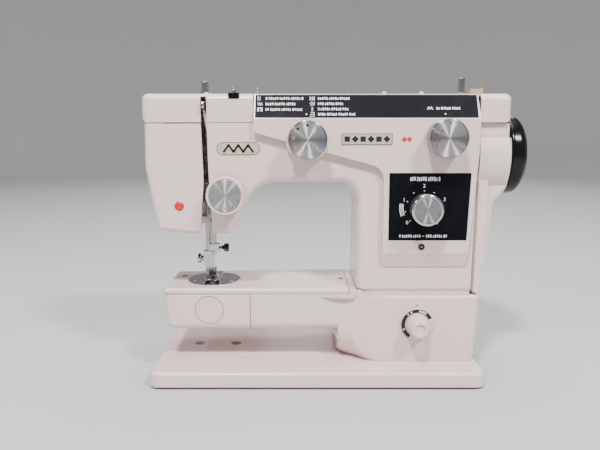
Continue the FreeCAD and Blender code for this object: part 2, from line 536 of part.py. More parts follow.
def hook_parts():
    x = NEEDLE_X
    apex = V(x, LOWER_SHAFT_Y, HOOK_Z)
    # hook: a cup behind the needle, with a point on its rim
    cup = rod(x, -4.6, HOOK_Z, Y_AXIS, HOOK_R, 3.4)
    cup = cup.cut(rod(x, -4.7, HOOK_Z, Y_AXIS, HOOK_R - 2.2, 1.6))
    cup = cup.cut(box(x + 4, x + 11, -5, -1.0, HOOK_Z + 8.5, HOOK_Z + 20))
    stem = rod(x, -2.5, HOOK_Z, Y_AXIS, HOOK_SHAFT_R, 33.4)
    gear = bevel(apex, (0, -1, 0), GEAR_SMALL, GEAR_LARGE, 7.0, 12, 0.3)
    save("rotary_hook", fuse(cup, stem), gear.cut(rod(x, -20, HOOK_Z, Y_AXIS, HOOK_SHAFT_R, 60)))
    # bobbin case: open at the back, on a stud in front of the hook
    case = rod(x, -27.0, HOOK_Z, Y_AXIS, 12.6, 18.6)
    case = cut(case, rod(x, -25.6, HOOK_Z, Y_AXIS, 11.6, 20),
               rod(x, -30, HOOK_Z, Y_AXIS, 2.4, 30),
               box(x + 3, x + 6, -30, -24, HOOK_Z + 4, HOOK_Z + 9))
    case = case.fuse(box(x - 7.0, x + 7.0, -28.2, -26.6, HOOK_Z - 7.5, HOOK_Z - 4.5)).removeSplitter()
    case = case.cut(box(x - 24.0, x, -11.4, -8.0, HOOK_Z - 3.4, HOOK_Z + 3.4))
    reel = revolve_y([(-24.6, 2.8, 0), (-24.6, 10.4, 0.3), (-23.8, 10.4, 0.3), (-23.8, 4.2, 0),
                      (-14.0, 4.2, 0), (-14.0, 10.4, 0.3), (-13.2, 10.4, 0.3), (-13.2, 2.8, 0)],
                     x, HOOK_Z)
    save("bobbin", reel)
    # bobbin stud and holder, fixed to the hook frame beside the hook
    bracket = fuse(rod(x, -29.0, HOOK_Z, Y_AXIS, 2.35, 20.0),
                   rod(x, -11.0, HOOK_Z, Y_AXIS, 7.0, 2.2),
                   box(x - 24.0, x, -11.0, -8.8, HOOK_Z - 3, HOOK_Z + 3),
                   box(x - 24.0, x - 20.0, -11.0, 27.0, HOOK_Z - 3, HOOK_Z + 3),
                   box(x - 24.0, x - 8.0, 24.0, 27.0, HOOK_Z - 3, HOOK_Z + 3))
    save("bobbin_case", case, bracket)
    # lower shaft along the free arm
    start = x + 3.6
    shaft = rod(start + 3, LOWER_SHAFT_Y, HOOK_Z, X_AXIS, LOWER_SHAFT_R, 46.0 - start - 3)
    drive = bevel(apex, (1, 0, 0), GEAR_LARGE, GEAR_SMALL, 3.8, 24, 0.3)
    hub = rod(x + GEAR_SMALL, LOWER_SHAFT_Y, HOOK_Z, X_AXIS, 7.5, 8.0)
    bore = rod(x - 5, LOWER_SHAFT_Y, HOOK_Z, X_AXIS, LOWER_SHAFT_R, 60)
    pulley = wheel_x(TIMING_X0, TIMING_X1, LOWER_SHAFT_Y, HOOK_Z, TIMING_R, LOWER_SHAFT_R, 1.8)
    save("lower_shaft", shaft, fuse(drive, hub).cut(bore), pulley)


# ---- timing and drive belts ------------------------------------------------------------------------
TIMING_X0, TIMING_X1 = 29.0, 37.0
TIMING_R = 14.0
PULLEY_R, MOTOR_PULLEY_R = 30.0, 7.5
BELT_X = 152.0
BELT_DEPTH, BELT_THICK = 2.05, 3.0      # how deep the drive belt's inner face lies in its grooves
MOTOR_START, MOTOR_END = 56.0, 136.0


def wheel_x(x0, x1, y, z, radius, bore, flange=0.0, groove=0.0):
    """Pulley on an X axis, with flanges or a V groove."""
    if groove:
        profile = [(x0, bore, 0), (x0, radius, 0.4), ((x0 + x1) / 2 - 1, radius - groove, 0),
                   ((x0 + x1) / 2 + 1, radius - groove, 0), (x1, radius, 0.4), (x1, bore, 0)]
    else:
        profile = [(x0, bore, 0), (x0, radius + flange, 0.3), (x0 + 1, radius + flange, 0.3),
                   (x0 + 1, radius, 0), (x1 - 1, radius, 0), (x1 - 1, radius + flange, 0.3),
                   (x1, radius + flange, 0.3), (x1, bore, 0)]
    return revolve_x(profile, y, z)


def belt(x0, x1, upper, lower, r_upper, r_lower, thick):
    """Flat closed belt round two pulleys on X axes; upper and lower are (y, z) centres."""
    def loop(extra):
        (y0, z0), (y1, z1) = upper, lower
        ru, rl = r_upper + extra, r_lower + extra
        span = math.hypot(y1 - y0, z1 - z0)
        along = math.atan2(z1 - z0, y1 - y0)
        spread = math.acos((ru - rl) / span)

        def on(centre, r, angle):
            return V(x0, centre[0] + r * math.cos(angle), centre[1] + r * math.sin(angle))
        a0, a1 = along + spread, along - spread
        edges = [Part.Arc(on(upper, ru, a0), on(upper, ru, along + math.pi), on(upper, ru, a1)).toShape(),
                 Part.makeLine(on(upper, ru, a1), on(lower, rl, a1)),
                 Part.Arc(on(lower, rl, a1), on(lower, rl, along), on(lower, rl, a0)).toShape(),
                 Part.makeLine(on(lower, rl, a0), on(upper, ru, a0))]
        return Part.Face(Part.Wire(edges)).extrude(V(x1 - x0, 0, 0))
    return loop(thick).cut(loop(0.0))


def belts_and_motor_pulley():
    upper, lower = (SHAFT_Y, SHAFT_Z), (LOWER_SHAFT_Y, HOOK_Z)
    timing = belt(TIMING_X0 + 1.4, TIMING_X1 - 1.4, upper, lower, TIMING_R + 0.35, TIMING_R + 0.35, 1.2)
    drive = belt(BELT_X - 0.9, BELT_X + 0.9, upper, (MOTOR_Y, MOTOR_Z),
                 PULLEY_R - BELT_DEPTH, MOTOR_PULLEY_R - BELT_DEPTH, BELT_THICK)
    save("belts", timing, drive)
    pulley = wheel_x(BELT_X - 4, BELT_X + 4, MOTOR_Y, MOTOR_Z, MOTOR_PULLEY_R, 2.5, groove=2.6)
    start = MOTOR_END - 13
    save("motor_rotor", pulley, rod(start, MOTOR_Y, MOTOR_Z, X_AXIS, 2.5, BELT_X + 4 - start))


# ---- main shaft group ------------------------------------------------------------------------------
MAIN_R = 5.5
BUSH_R = 9.0
BUSH_SPOTS = (-98.0, 122.0)
CRANK_X, CRANK_R = -112.0, 11.0


def main_shaft_parts():
    y, z = SHAFT_Y, SHAFT_Z
    shaft = rod(CRANK_X, y, z, X_AXIS, MAIN_R, 186.0 - CRANK_X)
    bushes = [tube(x, y, z, X_AXIS, BUSH_R, MAIN_R + RUN, 12.0) for x in BUSH_SPOTS]
    bushes.append(tube(-110.5, LOWER_SHAFT_Y, HOOK_Z, X_AXIS, LOWER_BUSH_R, LOWER_SHAFT_R + RUN, 6.0))
    save("shaft_bushes", *bushes)
    disc = cut(rod(CRANK_X - 2, y, z, X_AXIS, 19.0, 8.0),
               box(CRANK_X - 3, CRANK_X + 7, y - 30, y - 8, z + 3, z + 30),
               box(CRANK_X - 3, CRANK_X + 7, y + 8, y + 30, z + 3, z + 30))
    pin = rod(LINK_X0 - 0.8, y, z + CRANK_R, X_AXIS, 3.0, CRANK_X - LINK_X0 + 1.8)
    save("main_shaft", shaft, fuse(disc, pin).cut(rod(CRANK_X, y, z, X_AXIS, MAIN_R, 30)))
    rim = HALF_LENGTH
    wheel = revolve_x([(COVER_RIGHT + 0.8, MAIN_R, 0), (COVER_RIGHT + 0.8, 38.0, 5.0),
                       (COVER_RIGHT + 4.0, 42.0, 4.0), (rim - 5.0, 42.0, 8.0), (rim, 36.5, 3.0),
                       (rim, 31.0, 2.0), (rim - 4.5, 28.0, 3.0), (rim - 4.5, 15.8, 0),
                       (rim - 9.5, 15.8, 0), (rim - 9.5, MAIN_R, 0)], y, z)
    save("handwheel", wheel)
    hub = wheel_x(BELT_X - 5, BELT_X + 5, y, z, PULLEY_R, MAIN_R, groove=4.2)
    neck = tube(BELT_X + 5, y, z, X_AXIS, 14.0, MAIN_R, COVER_RIGHT + 0.8 - BELT_X - 5)
    save("main_shaft_pulleys", fuse(hub, neck), wheel_x(TIMING_X0, TIMING_X1, y, z, TIMING_R, MAIN_R, 1.8))
    knob = revolve_x([(rim - 9.3, 0, 0), (rim - 9.3, 15.2, 0), (rim - 0.3, 14.4, 2.0),
                      (rim - 0.3, 9.5, 1.0), (rim - 1.3, 8.0, 1.0), (rim - 1.3, 0, 0)], y, z)
    for i in range(24):
        a = 2 * math.pi * i / 24
        knob = knob.cut(rod(rim - 8, y + 15.4 * math.cos(a), z + 15.4 * math.sin(a), X_AXIS, 0.8, 12))
    save("clutch_knob", knob)


def motor():
    x0, x1 = MOTOR_START, MOTOR_END
    body = revolve_x([(x0, 0, 0), (x0, 24.0, 5.0), (x0 + 12, 27.0, 0), (x1 - 14, 27.0, 0),
                      (x1, 22.0, 5.0), (x1, 0, 0)], MOTOR_Y, MOTOR_Z)
    for i in range(8):
        a = math.pi * i / 4
        vent = box(x0 + 16, x1 - 20, -1.0, 1.0, 24.5, 30.0)
        vent.rotate(V(0, 0, 0), X_AXIS, math.degrees(a))
        vent.translate(V(0, MOTOR_Y, MOTOR_Z))
        body = body.cut(vent)
    body = body.cut(rod(x1 - 14, MOTOR_Y, MOTOR_Z, X_AXIS, 2.5 + RUN, 20))
    foot = box(x0 + 20, x1 - 26, MOTOR_Y - 12, HEAD_REAR - WALL, MOTOR_Z - 4, MOTOR_Z + 4)
    foot = foot.cut(rod(x0, MOTOR_Y, MOTOR_Z, X_AXIS, 24.0, 100))
    foot = foot.common(box(x0, x1, 20, 60, 0, 300))
    save("motor", fuse(body, foot))


# ---- upper body -----------------------------------------------------------------------------------
def arm_outline(y):
    """Front outline of head, arm and column, from the take-up slot to the side cover."""
    return front_face([
        (SLOT_RIGHT, SEAM_Z, 0), (-131.8, 224.0, 60), (-128.4, HEAD_BOTTOM, 0), (-111.5, HEAD_BOTTOM, 3.5),
        (-79.9, 211.5, 32), (COLUMN_LEFT + 0.3, 212.0, 19.5), (COLUMN_LEFT, COLUMN_BOTTOM, 6),
        (COLUMN_RIGHT - 1.4, COLUMN_BOTTOM, 0), (COLUMN_RIGHT, SEAM_Z, 0)], y)


WEBS = ((-100.0, -90.0), (120.0, 128.0))
FACE_LUGS = (176.0, 252.0)
SHELF_Z = 243.0
CAM_X, CAM_Z = 2.0, 236.3
REAR_WINDOW = (48.0, 132.0, 108.0, 196.0)
REAR_SCREWS = tuple((x, z) for x in (REAR_WINDOW[0] - 4, REAR_WINDOW[1] + 4)
                    for z in (REAR_WINDOW[2] + 8, REAR_WINDOW[3] - 8))
LIFTER_Z = 191.0


def arm_casting():
    face = arm_outline(HEAD_FRONT)
    solid = face.extrude(V(0, HEAD_REAR - HEAD_FRONT, 0))
    solid = soften(solid, 7.0, lambda b, e: (at_y(b, HEAD_FRONT) or at_y(b, HEAD_REAR)) and (
        b.ZMax < 213.5 and b.XMax < COLUMN_LEFT + 0.6 and b.XMin > -112 and b.ZMax > 96))
    inner = inset_prism(face, WALL, V(0, HEAD_REAR - HEAD_FRONT - 2 * WALL, 0), V(0, WALL, 0))
    inside = [inner,
              box(-200, 200, HEAD_FRONT + WALL, HEAD_REAR - WALL, SEAM_Z - 6, SEAM_Z + 5),
              box(-142, -118, HEAD_FRONT + WALL, HEAD_REAR - WALL, HEAD_BOTTOM + 4, SEAM_Z),
              box(COLUMN_RIGHT - 8, 200, HEAD_FRONT + WALL + 6, HEAD_REAR - WALL - 6, 100, SEAM_Z),
              box(COLUMN_LEFT + 5, 136, -40, 30, COLUMN_BOTTOM - 2, COLUMN_BOTTOM + 8)]
    body = cut(solid, *inside)
    for x0, x1 in WEBS:
        floor = 208.0 if x0 < 0 else 205.0
        web = box(x0, x1, HEAD_FRONT + WALL - 1, HEAD_REAR - WALL + 1, floor, TAKE_UP[1] + 6)
        body = body.fuse(web)
    # rear wall and roof bracket of the head, left of the slot
    inner_rear = HEAD_REAR - WALL + 1
    rear = prism_y([(-188.0, HEAD_BOTTOM + 5, 5), (-118.0, HEAD_BOTTOM + 2, 0), (-118.0, SEAM_Z, 0),
                    (-195.0, SEAM_Z, 0), (-195.0, 216, 30)], HEAD_REAR - WALL, HEAD_REAR)
    seam_lip = box(-190, -118, HEAD_REAR - WALL - 1.9, HEAD_REAR - WALL + 0.7, SEAM_Z - 2.5, SEAM_Z + 5)
    shelf = box(-184, -127, 3.5, inner_rear, SHELF_Z, SHELF_Z + 4)
    shelf = shelf.cut(box(-140, -100, 0, 8, 200, 300))
    lower_shelf = box(-152, -130, 3.5, inner_rear, HEAD_BOTTOM + 3, HEAD_BOTTOM + 11)
    swing_boss = box(-139.0, -118.0, 2.2, 4.8, SWING_Z - 4.5, SEAM_Z - 1.0)
    swing_rib = box(-129.0, -124.0, 2.2, inner_rear, SWING_Z - 4.5, SEAM_Z - 2.0)
    plinth = box(COLUMN_LEFT + 4, COLUMN_RIGHT - 2, HEAD_FRONT + 2, HEAD_REAR - 2,
                 BLOCK_TOP, COLUMN_BOTTOM + 3)
    plunger_guide = rod(LENGTH[0], HEAD_FRONT + 1, LENGTH[1], Y_AXIS, 10.0, 10.5)
    cam_bracket = box(CAM_X - 8, CAM_X + 8, -22.5, -19.5, 213.0, CAM_Z + 8.0)
    cam_bracket = cam_bracket.fuse(box(CAM_X - 8, CAM_X + 8, -22.5, HEAD_REAR - WALL, 211.0, 215.0))
    body = fuse(body, rear, seam_lip, shelf, lower_shelf, swing_boss, swing_rib, plinth, plunger_guide,
                cam_bracket)
    for z in FACE_LUGS:
        body = body.fuse(box(FACE_PIN[0] - 2.6, FACE_PIN[0] + 8, FACE_PIN[1] - 2.6, inner_rear, z, z + 6))
    holes = [rod(x - 3, SHAFT_Y, SHAFT_Z, X_AXIS, BUSH_R, 18) for x in BUSH_SPOTS]
    holes += [rod(*FACE_PIN, 100, Z_AXIS, FACE_PIN_R, 200),
              rod(PRESSER_X, PRESSER_Y, 100, Z_AXIS, PRESSER_R + RUN, 200),
              rod(PRESSER_X, 20, LIFTER_Z, Y_AXIS, LIFTER_R + RUN, 40),
              rod(NEEDLE_X, 0, SWING_Z, Y_AXIS, SWING_R + RUN, 20),
              rod(-101, *TAKE_UP, X_AXIS, TAKE_PIN_R, 6.0),
              rod(TENSION[0], HEAD_FRONT - 1, TENSION[1], Y_AXIS, 5.0, 6),
              rod(PATTERN[0], HEAD_FRONT - 1, PATTERN[1], Y_AXIS, DIAL_STEM_R + RUN, 6),
              rod(WIDTH[0], HEAD_FRONT - 1, WIDTH[1], Y_AXIS, DIAL_STEM_R + RUN, 6),
              rod(LENGTH[0], HEAD_FRONT - 1, LENGTH[1], Y_AXIS, PLUNGER_R + RUN, 20),
              rod(CAM_X, -40, CAM_Z, Y_AXIS, 3.0, 40),
              box(COLUMN_LEFT + 5, 136, -40, 30, BLOCK_TOP - 1, COLUMN_BOTTOM + 8),
              rod(PANEL_SCREW[0], HEAD_FRONT - 1, PANEL_SCREW[1], Y_AXIS, 1.6, 6),
              box(REAR_WINDOW[0], REAR_WINDOW[1], HEAD_REAR - WALL - 1, HEAD_REAR + 1,
                  REAR_WINDOW[2], REAR_WINDOW[3])]
    body = cut(body, *holes)
    for x, z in REAR_SCREWS:
        body = body.cut(rod(x, HEAD_REAR - WALL - 1, z, Y_AXIS, 1.5, 6))
    save("arm_casting", body.removeSplitter())


def rear_cover():
    x0, x1, z0, z1 = REAR_WINDOW
    plate = prism_y([(x0 - 8, z0 - 6, 5), (x1 + 8, z0 - 6, 5), (x1 + 8, z1 + 6, 5), (x0 - 8, z1 + 6, 5)],
                    HEAD_REAR, HEAD_REAR + 2.0)
    plate = soften(plate, 1.0, lambda b, e: at_y(b, HEAD_REAR + 2.0))
    for i in range(9):
        x = x0 + 14 + i * 7.0
        vent = prism_y([(x, z0 + 46, 1.4), (x + 3, z0 + 46, 1.4), (x + 3, z1 - 10, 1.4), (x, z1 - 10, 1.4)],
                       HEAD_REAR - 1, HEAD_REAR + 3)
        plate = plate.cut(vent)
    for x, z in REAR_SCREWS:
        plate = plate.cut(rod(x, HEAD_REAR - 1, z, Y_AXIS, 1.6, 6))
    save("rear_cover", plate)


def rear_cover_screws():
    return [screw(x, HEAD_REAR + 2.0, z, Y_AXIS, 1.5, 3.0, 5.0) for x, z in REAR_SCREWS]


def lid_section():
    return [(HEAD_FRONT, SEAM_Z + GAP, 0), (HEAD_REAR, SEAM_Z + GAP, 0), (HEAD_REAR, LID_TOP, 9),
            (HEAD_FRONT, LID_TOP, 7)]


def top_cover():
    lid = prism_x(lid_section(), -HALF_LENGTH, COVER_RIGHT - 1)
    lid = soften(lid, 6.0, lambda b, e: b.XLength < 0.1)
    hollow = prism_x([(HEAD_FRONT + 2.5, SEAM_Z - 1, 0), (HEAD_REAR - 2.5, SEAM_Z - 1, 0),
                      (HEAD_REAR - 2.5, LID_TOP - 2.5, 6), (HEAD_FRONT + 2.5, LID_TOP - 2.5, 4)],
                     -HALF_LENGTH + 2.5, COVER_RIGHT - 3.5)
    lid = lid.cut(hollow)
    left, right, behind = PANEL_LEFT - 0.3, COLUMN_RIGHT + 0.8, PANEL_TOP_Y + 2.4
    notch = box(left, right, HEAD_FRONT - 2, behind, SEAM_Z - 2, LID_TOP + 2)
    slot = box(SLOT_LEFT, SLOT_RIGHT, HEAD_FRONT - 2, HEAD_FRONT + 14, SEAM_Z - 1, LID_TOP - 3.2)
    lid = cut(lid, notch, slot)
    # front wall behind the raised panel
    lid = fuse(lid, box(left, right, behind, behind + 2.5, SEAM_Z + GAP, LID_TOP - 2))
    for x in (*SPOOL_X, WINDER_X):
        lid = lid.cut(rod(x, TOP_ROW_Y, 250, Z_AXIS, SPOOL_R + RUN, 80))
    for x in (*SPOOL_X, WINDER_X):
        sleeve = tube(x, TOP_ROW_Y, LID_TOP - 16, Z_AXIS, SPOOL_R + 2.4, SPOOL_R + RUN, 15)
        lid = lid.fuse(sleeve)
    lid = lid.cut(rod(PRESSER_X, PRESSER_Y, 250, Z_AXIS, REGULATOR_R + RUN, 80))
    lid = cut(lid, rod(WINDER_STOP_X, TOP_ROW_Y, 250, Z_AXIS, STOP_SCREW_R, 80),
              rod(*THREAD_HOOK, 250, Z_AXIS, THREAD_HOOK_R, 80),
              rod(*THREAD_GUIDE, 250, Z_AXIS, THREAD_GUIDE_R, 80))
    save("top_cover", lid.removeSplitter())


def front_panel():
    """Raised panel over arm and column: chamfered top, crest, windows and a bevelled lower ledge."""
    back = HEAD_FRONT
    outline = [(PANEL_LEFT, LID_TOP - 0.4, 0), (PANEL_LEFT, 262.3, 1.5), (48.2, 226.0, 17),
               (48.2, 122.8, 2), (137.0, 122.8, 2), (COLUMN_RIGHT - 0.4, 240.0, 200),
               (COLUMN_RIGHT, CREST_Z, 0), (COLUMN_RIGHT - 1.5, LID_TOP - 0.4, 0)]
    solid = prism_y(outline, PANEL_FRONT - 1, PANEL_TOP_Y + 2)
    boss = rod(PATTERN[0], PANEL_FRONT, PATTERN[1], Y_AXIS, 22.3, back - PANEL_FRONT)
    section = [(PANEL_FRONT, 138.6, 0), (PANEL_FRONT, CREST_Z, 1.2), (PANEL_TOP_Y, LID_TOP, 1.0),
               (PANEL_TOP_Y + 2, LID_TOP, 0), (PANEL_TOP_Y + 2, SEAM_Z + 3, 0), (back, SEAM_Z + 3, 0),
               (back, 100, 0), (back - 0.6, 122.0, 0)]
    panel = solid.common(prism_x(section, -120, 200)).fuse(boss).removeSplitter()
    panel = soften(panel, 2.0, lambda b, e: at_y(b, PANEL_FRONT) and b.ZMax < 262.5 and b.XMax < 52)
    # the hollow behind it goes lower over the column than over the arm
    for lowest, left, right in ((142, 54, COLUMN_RIGHT - 2.4), (262, PANEL_LEFT + 2.5, 54)):
        hollow = [(PANEL_FRONT + 2.6, lowest, 0), (PANEL_FRONT + 2.6, CREST_Z - 1, 0),
                  (PANEL_TOP_Y + 1.0, LID_TOP - 3.4, 0), (PANEL_TOP_Y + 4, LID_TOP - 3.4, 0),
                  (PANEL_TOP_Y + 4, SEAM_Z, 0), (back + 1, SEAM_Z, 0), (back + 1, lowest, 0)]
        panel = panel.cut(prism_x(hollow, left, right))
    # seats for the two printed plates
    x0, x1, z0, z1 = STRIP
    strip_seat = slanted_plate(x0 - 0.2, x1 + 0.2, z0 - 0.2, z1 + 0.2, -0.9, 3.0)
    panel = panel.cut(strip_seat)
    seat = prism_y([(a, b, 0.6) for a, b in length_plate_corners(0.15)], PANEL_FRONT - 1, PANEL_FRONT + 1.6)
    panel = cut(panel, seat,
                rod(PATTERN[0], -70, PATTERN[1], Y_AXIS, DIAL_STEM_R + 1, 30),
                rod(WIDTH[0], -70, WIDTH[1], Y_AXIS, DIAL_STEM_R + 1, 30),
                rod(LENGTH[0], -70, LENGTH[1], Y_AXIS, PLUNGER_R + 2.0, 30),
                rod(PANEL_SCREW[0], -70, PANEL_SCREW[1], Y_AXIS, 1.7, 24),
                rod(PANEL_SCREW[0], PANEL_FRONT - 1, PANEL_SCREW[1], Y_AXIS, 3.6, 2.4))
    save("front_panel", panel.removeSplitter())


def length_plate_corners(grow=0.0):
    return ((54.2 - grow, 151.8 - grow), (135.2 + grow, 151.8 - grow),
            (137.4 + grow, 221.5 + grow), (53.8 - grow, 221.5 + grow))


def slanted_plate(x0, x1, z0, z1, depth0, depth1):
    """Slab lying on the panel's chamfered top face, between two depths below its surface."""
    rise, run = LID_TOP - CREST_Z, PANEL_TOP_Y - PANEL_FRONT
    length = math.hypot(rise, run)
    normal = V(0, -rise / length, run / length)

    def on(z, depth):
        share = (z - CREST_Z) / rise
        return V(0, PANEL_FRONT + run * share, z) - normal * depth
    points = [on(z0, depth0), on(z1, depth0), on(z1, depth1), on(z0, depth1)]
    return prism_x([(p.y, p.z, 0) for p in points], x0, x1)


def printed_plates():
    plate = prism_y([(a, b, 0.5) for a, b in length_plate_corners()], PANEL_FRONT + 0.7, PANEL_FRONT + 1.6)
    plate = plate.cut(rod(LENGTH[0], -70, LENGTH[1], Y_AXIS, PLUNGER_R + 2.0, 30))
    save("printed_plates", slanted_plate(*STRIP, 0.1, 0.9), plate)
    x0, x1, z0, z1 = NAME_PLATE
    name_plate = prism_y(rectangle(x0, x1, z0, z1, 0.5), PANEL_FRONT - 0.4, PANEL_FRONT)
    x0, x1, z0, z1 = OVAL_BADGE
    oval = prism_y(rectangle(x0, x1, z0, z1, OVAL_CORNER), HEAD_FRONT - 0.4, HEAD_FRONT)
    save("badges", name_plate, oval)


def panel_screw():
    return screw(PANEL_SCREW[0], PANEL_FRONT + 1.2, PANEL_SCREW[1], V(0, -1, 0), 1.6, 3.2, 12.0)


def face_cover():
    """Hinged cover on the left of the head: front wall, end wall and lower edge."""
    side = [(-186.5, 160.3, 6), (SLOT_LEFT - 3.4, 156.0, 0), (SLOT_LEFT + 1.2, 214.0, 90),
            (SLOT_LEFT - 0.2, SEAM_Z - GAP, 0), (-HALF_LENGTH + 1.6, SEAM_Z - GAP, 0),
            (-HALF_LENGTH + 0.8, 226.0, 60)]
    solid = prism_y(side, HEAD_FRONT, 30.0)
    solid = soften(solid, 6.0, lambda b, e: b.YMax < HEAD_FRONT + 0.1 and b.XMax < SLOT_LEFT - 8 and
                   b.ZMin < SEAM_Z - 3 and b.XMin < -150 and not at_z(b, SEAM_Z - GAP))
    inner = inset_prism(front_face(side, HEAD_FRONT), 2.4, V(0, 100, 0), V(0, 2.4, 0))
    opening = [inner, box(-170, -100, HEAD_FRONT + 2.4, 60, 100, SEAM_Z + 5),
               box(-HALF_LENGTH + 4, -100, HEAD_FRONT + 9, 60, SEAM_Z - 8, SEAM_Z + 5),
               box(-178, -100, HEAD_FRONT + 11, 60, 100, 175)]
    cover = cut(solid, *opening)
    knuckles = [rod(*FACE_PIN, z, Z_AXIS, 3.4, 8.0) for z in (186.0, 240.0)]
    straps = [box(x, FACE_PIN[0], FACE_PIN[1] - 2.0, FACE_PIN[1] + 2.0, z, z + 8.0)
              for x, z in ((-194.0, 186.0), (-HALF_LENGTH + 2.4, 240.0))]
    cover = cut(cover, *(box(-200, -180, 17.0, 40, z - 1, z + 7) for z in FACE_LUGS))
    cover = cut(fuse(cover, *knuckles, *straps), rod(*FACE_PIN, 100, Z_AXIS, FACE_PIN_R + RUN, 200))
    cover = cover.cut(rod(BUTTON[0], HEAD_FRONT - 1, BUTTON[1], Y_AXIS, BUTTON_R + 0.3, 6))
    save("face_cover", cover)


def light_switch_button():
    button = revolve_y([(-50.9, 0, 0), (-50.9, 3.6, 0.9), (-50.2, BUTTON_R, 0), (-46.0, BUTTON_R, 0),
                        (-46.0, 0, 0)], *BUTTON)
    save("light_switch_button", button)


def lamp():
    x, y = -170.0, 16.0
    socket = revolve_z([(222.0, 9.0, 1), (SHELF_Z, 9.0, 1), (SHELF_Z, 0, 0), (226.0, 0, 0), (226.0, 7.2, 0),
                        (222.0, 7.2, 0)], x, y)
    switch = box(BUTTON[0] - 7, BUTTON[0] + 7, -43.0, -34.0, BUTTON[1] - 6, BUTTON[1] + 6)
    arm = box(BUTTON[0] - 7, BUTTON[0] - 3, -34.5, HEAD_REAR - WALL, BUTTON[1] - 3, BUTTON[1] + 3)
    save("lamp_fittings", socket, fuse(switch, arm))
    bulb = revolve_z([(196.0, 0, 0), (196.0, 8.0, 7.5), (212.0, 8.0, 5), (218.0, 6.0, 2), (226.0, 6.0, 0),
                      (226.0, 0, 0)], x, y)
    save("lamp_bulb", bulb)


def slot_shield():
    """Dark plate behind the take-up slot, with its own slit for the lever."""
    y0 = HEAD_FRONT + WALL
    plate = box(-142.0, -127.0, y0, y0 + 1.0, 214.0, SEAM_Z - 0.5)
    return plate.cut(box(TAKE_X0 - 0.8, TAKE_X1 + 0.8, -60, -40, 220, SEAM_Z + 5))


# ---- right side -------------------------------------------------------------------------------------
BULGE_R = 50.0
SIDE_FRONT = -46.0
LEDGE_Z = 257.0                     # flat top of the bulge round the main shaft
SIDE_WALL = 2.6


def side_cover():
    left, rear = COLUMN_RIGHT + GAP, 36.0
    outline = [(left, COLUMN_BOTTOM, 0), (153.8, COLUMN_BOTTOM, 4), (154.8, 122.0, 2), (162.0, 132.5, 2),
               (165.4, 190.0, 8), (COVER_RIGHT, 206.0, 8), (COVER_RIGHT, SEAM_Z, 0), (left, SEAM_Z, 0)]
    slab = prism_y(outline, SIDE_FRONT, rear)
    slab = soften(slab, 4.0, lambda b, e: b.XMin > 150 and (at_y(b, SIDE_FRONT) or at_y(b, rear)))
    bulge = rod(left, SHAFT_Y, SHAFT_Z, X_AXIS, BULGE_R, COVER_RIGHT - left)
    bulge = soften(bulge, 4.0, lambda b, e: abs(b.XMin - COVER_RIGHT) < 0.1 and b.XLength < 0.1)
    bulge = bulge.common(box(left, 200, -60, HEAD_REAR, 100, LEDGE_Z))
    body = fuse(slab, bulge)
    band = prism_y([(146.2, 94.0, 0), (153.5, 94.0, 0), (154.6, 122.0, 3), (157.5, 126.0, 3),
                    (157.5, 214.5, 2), (147.0, 214.5, 2)], HEAD_FRONT, SIDE_FRONT + 1)
    band = soften(band, 1.5, lambda b, e: at_y(b, HEAD_FRONT))
    body = body.fuse(band)
    inner_right, inner_rear = COVER_RIGHT - SIDE_WALL, rear - SIDE_WALL
    hollow = prism_y([(left - 1, COLUMN_BOTTOM - 1, 0), (151.2, COLUMN_BOTTOM - 1, 0), (152.2, 123.0, 2),
                      (159.4, 133.6, 2), (162.8, 192.0, 6), (inner_right, 208.0, 6),
                      (inner_right, SEAM_Z + 1, 0), (left - 1, SEAM_Z + 1, 0)],
                     SIDE_FRONT + SIDE_WALL, inner_rear)
    inner_bulge = rod(left - 1, SHAFT_Y, SHAFT_Z, X_AXIS, BULGE_R - SIDE_WALL, inner_right - left + 1)
    inner_bulge = inner_bulge.common(box(left - 1, 200, -60, inner_rear, 100, LEDGE_Z - SIDE_WALL))
    body = cut(body, hollow, inner_bulge, rod(160, SHAFT_Y, SHAFT_Z, X_AXIS, 15.0, 40))
    save("side_cover", body.removeSplitter())


# ---- needle bar, presser bar and take-up ---------------------------------------------------------
SWING_Z, SWING_R = 266.5, 2.0
CLAMP_Z = 137.0
TAKE_X0, TAKE_X1 = -136.4, -133.8
LINK_X0, LINK_X1 = -121.0, -117.4


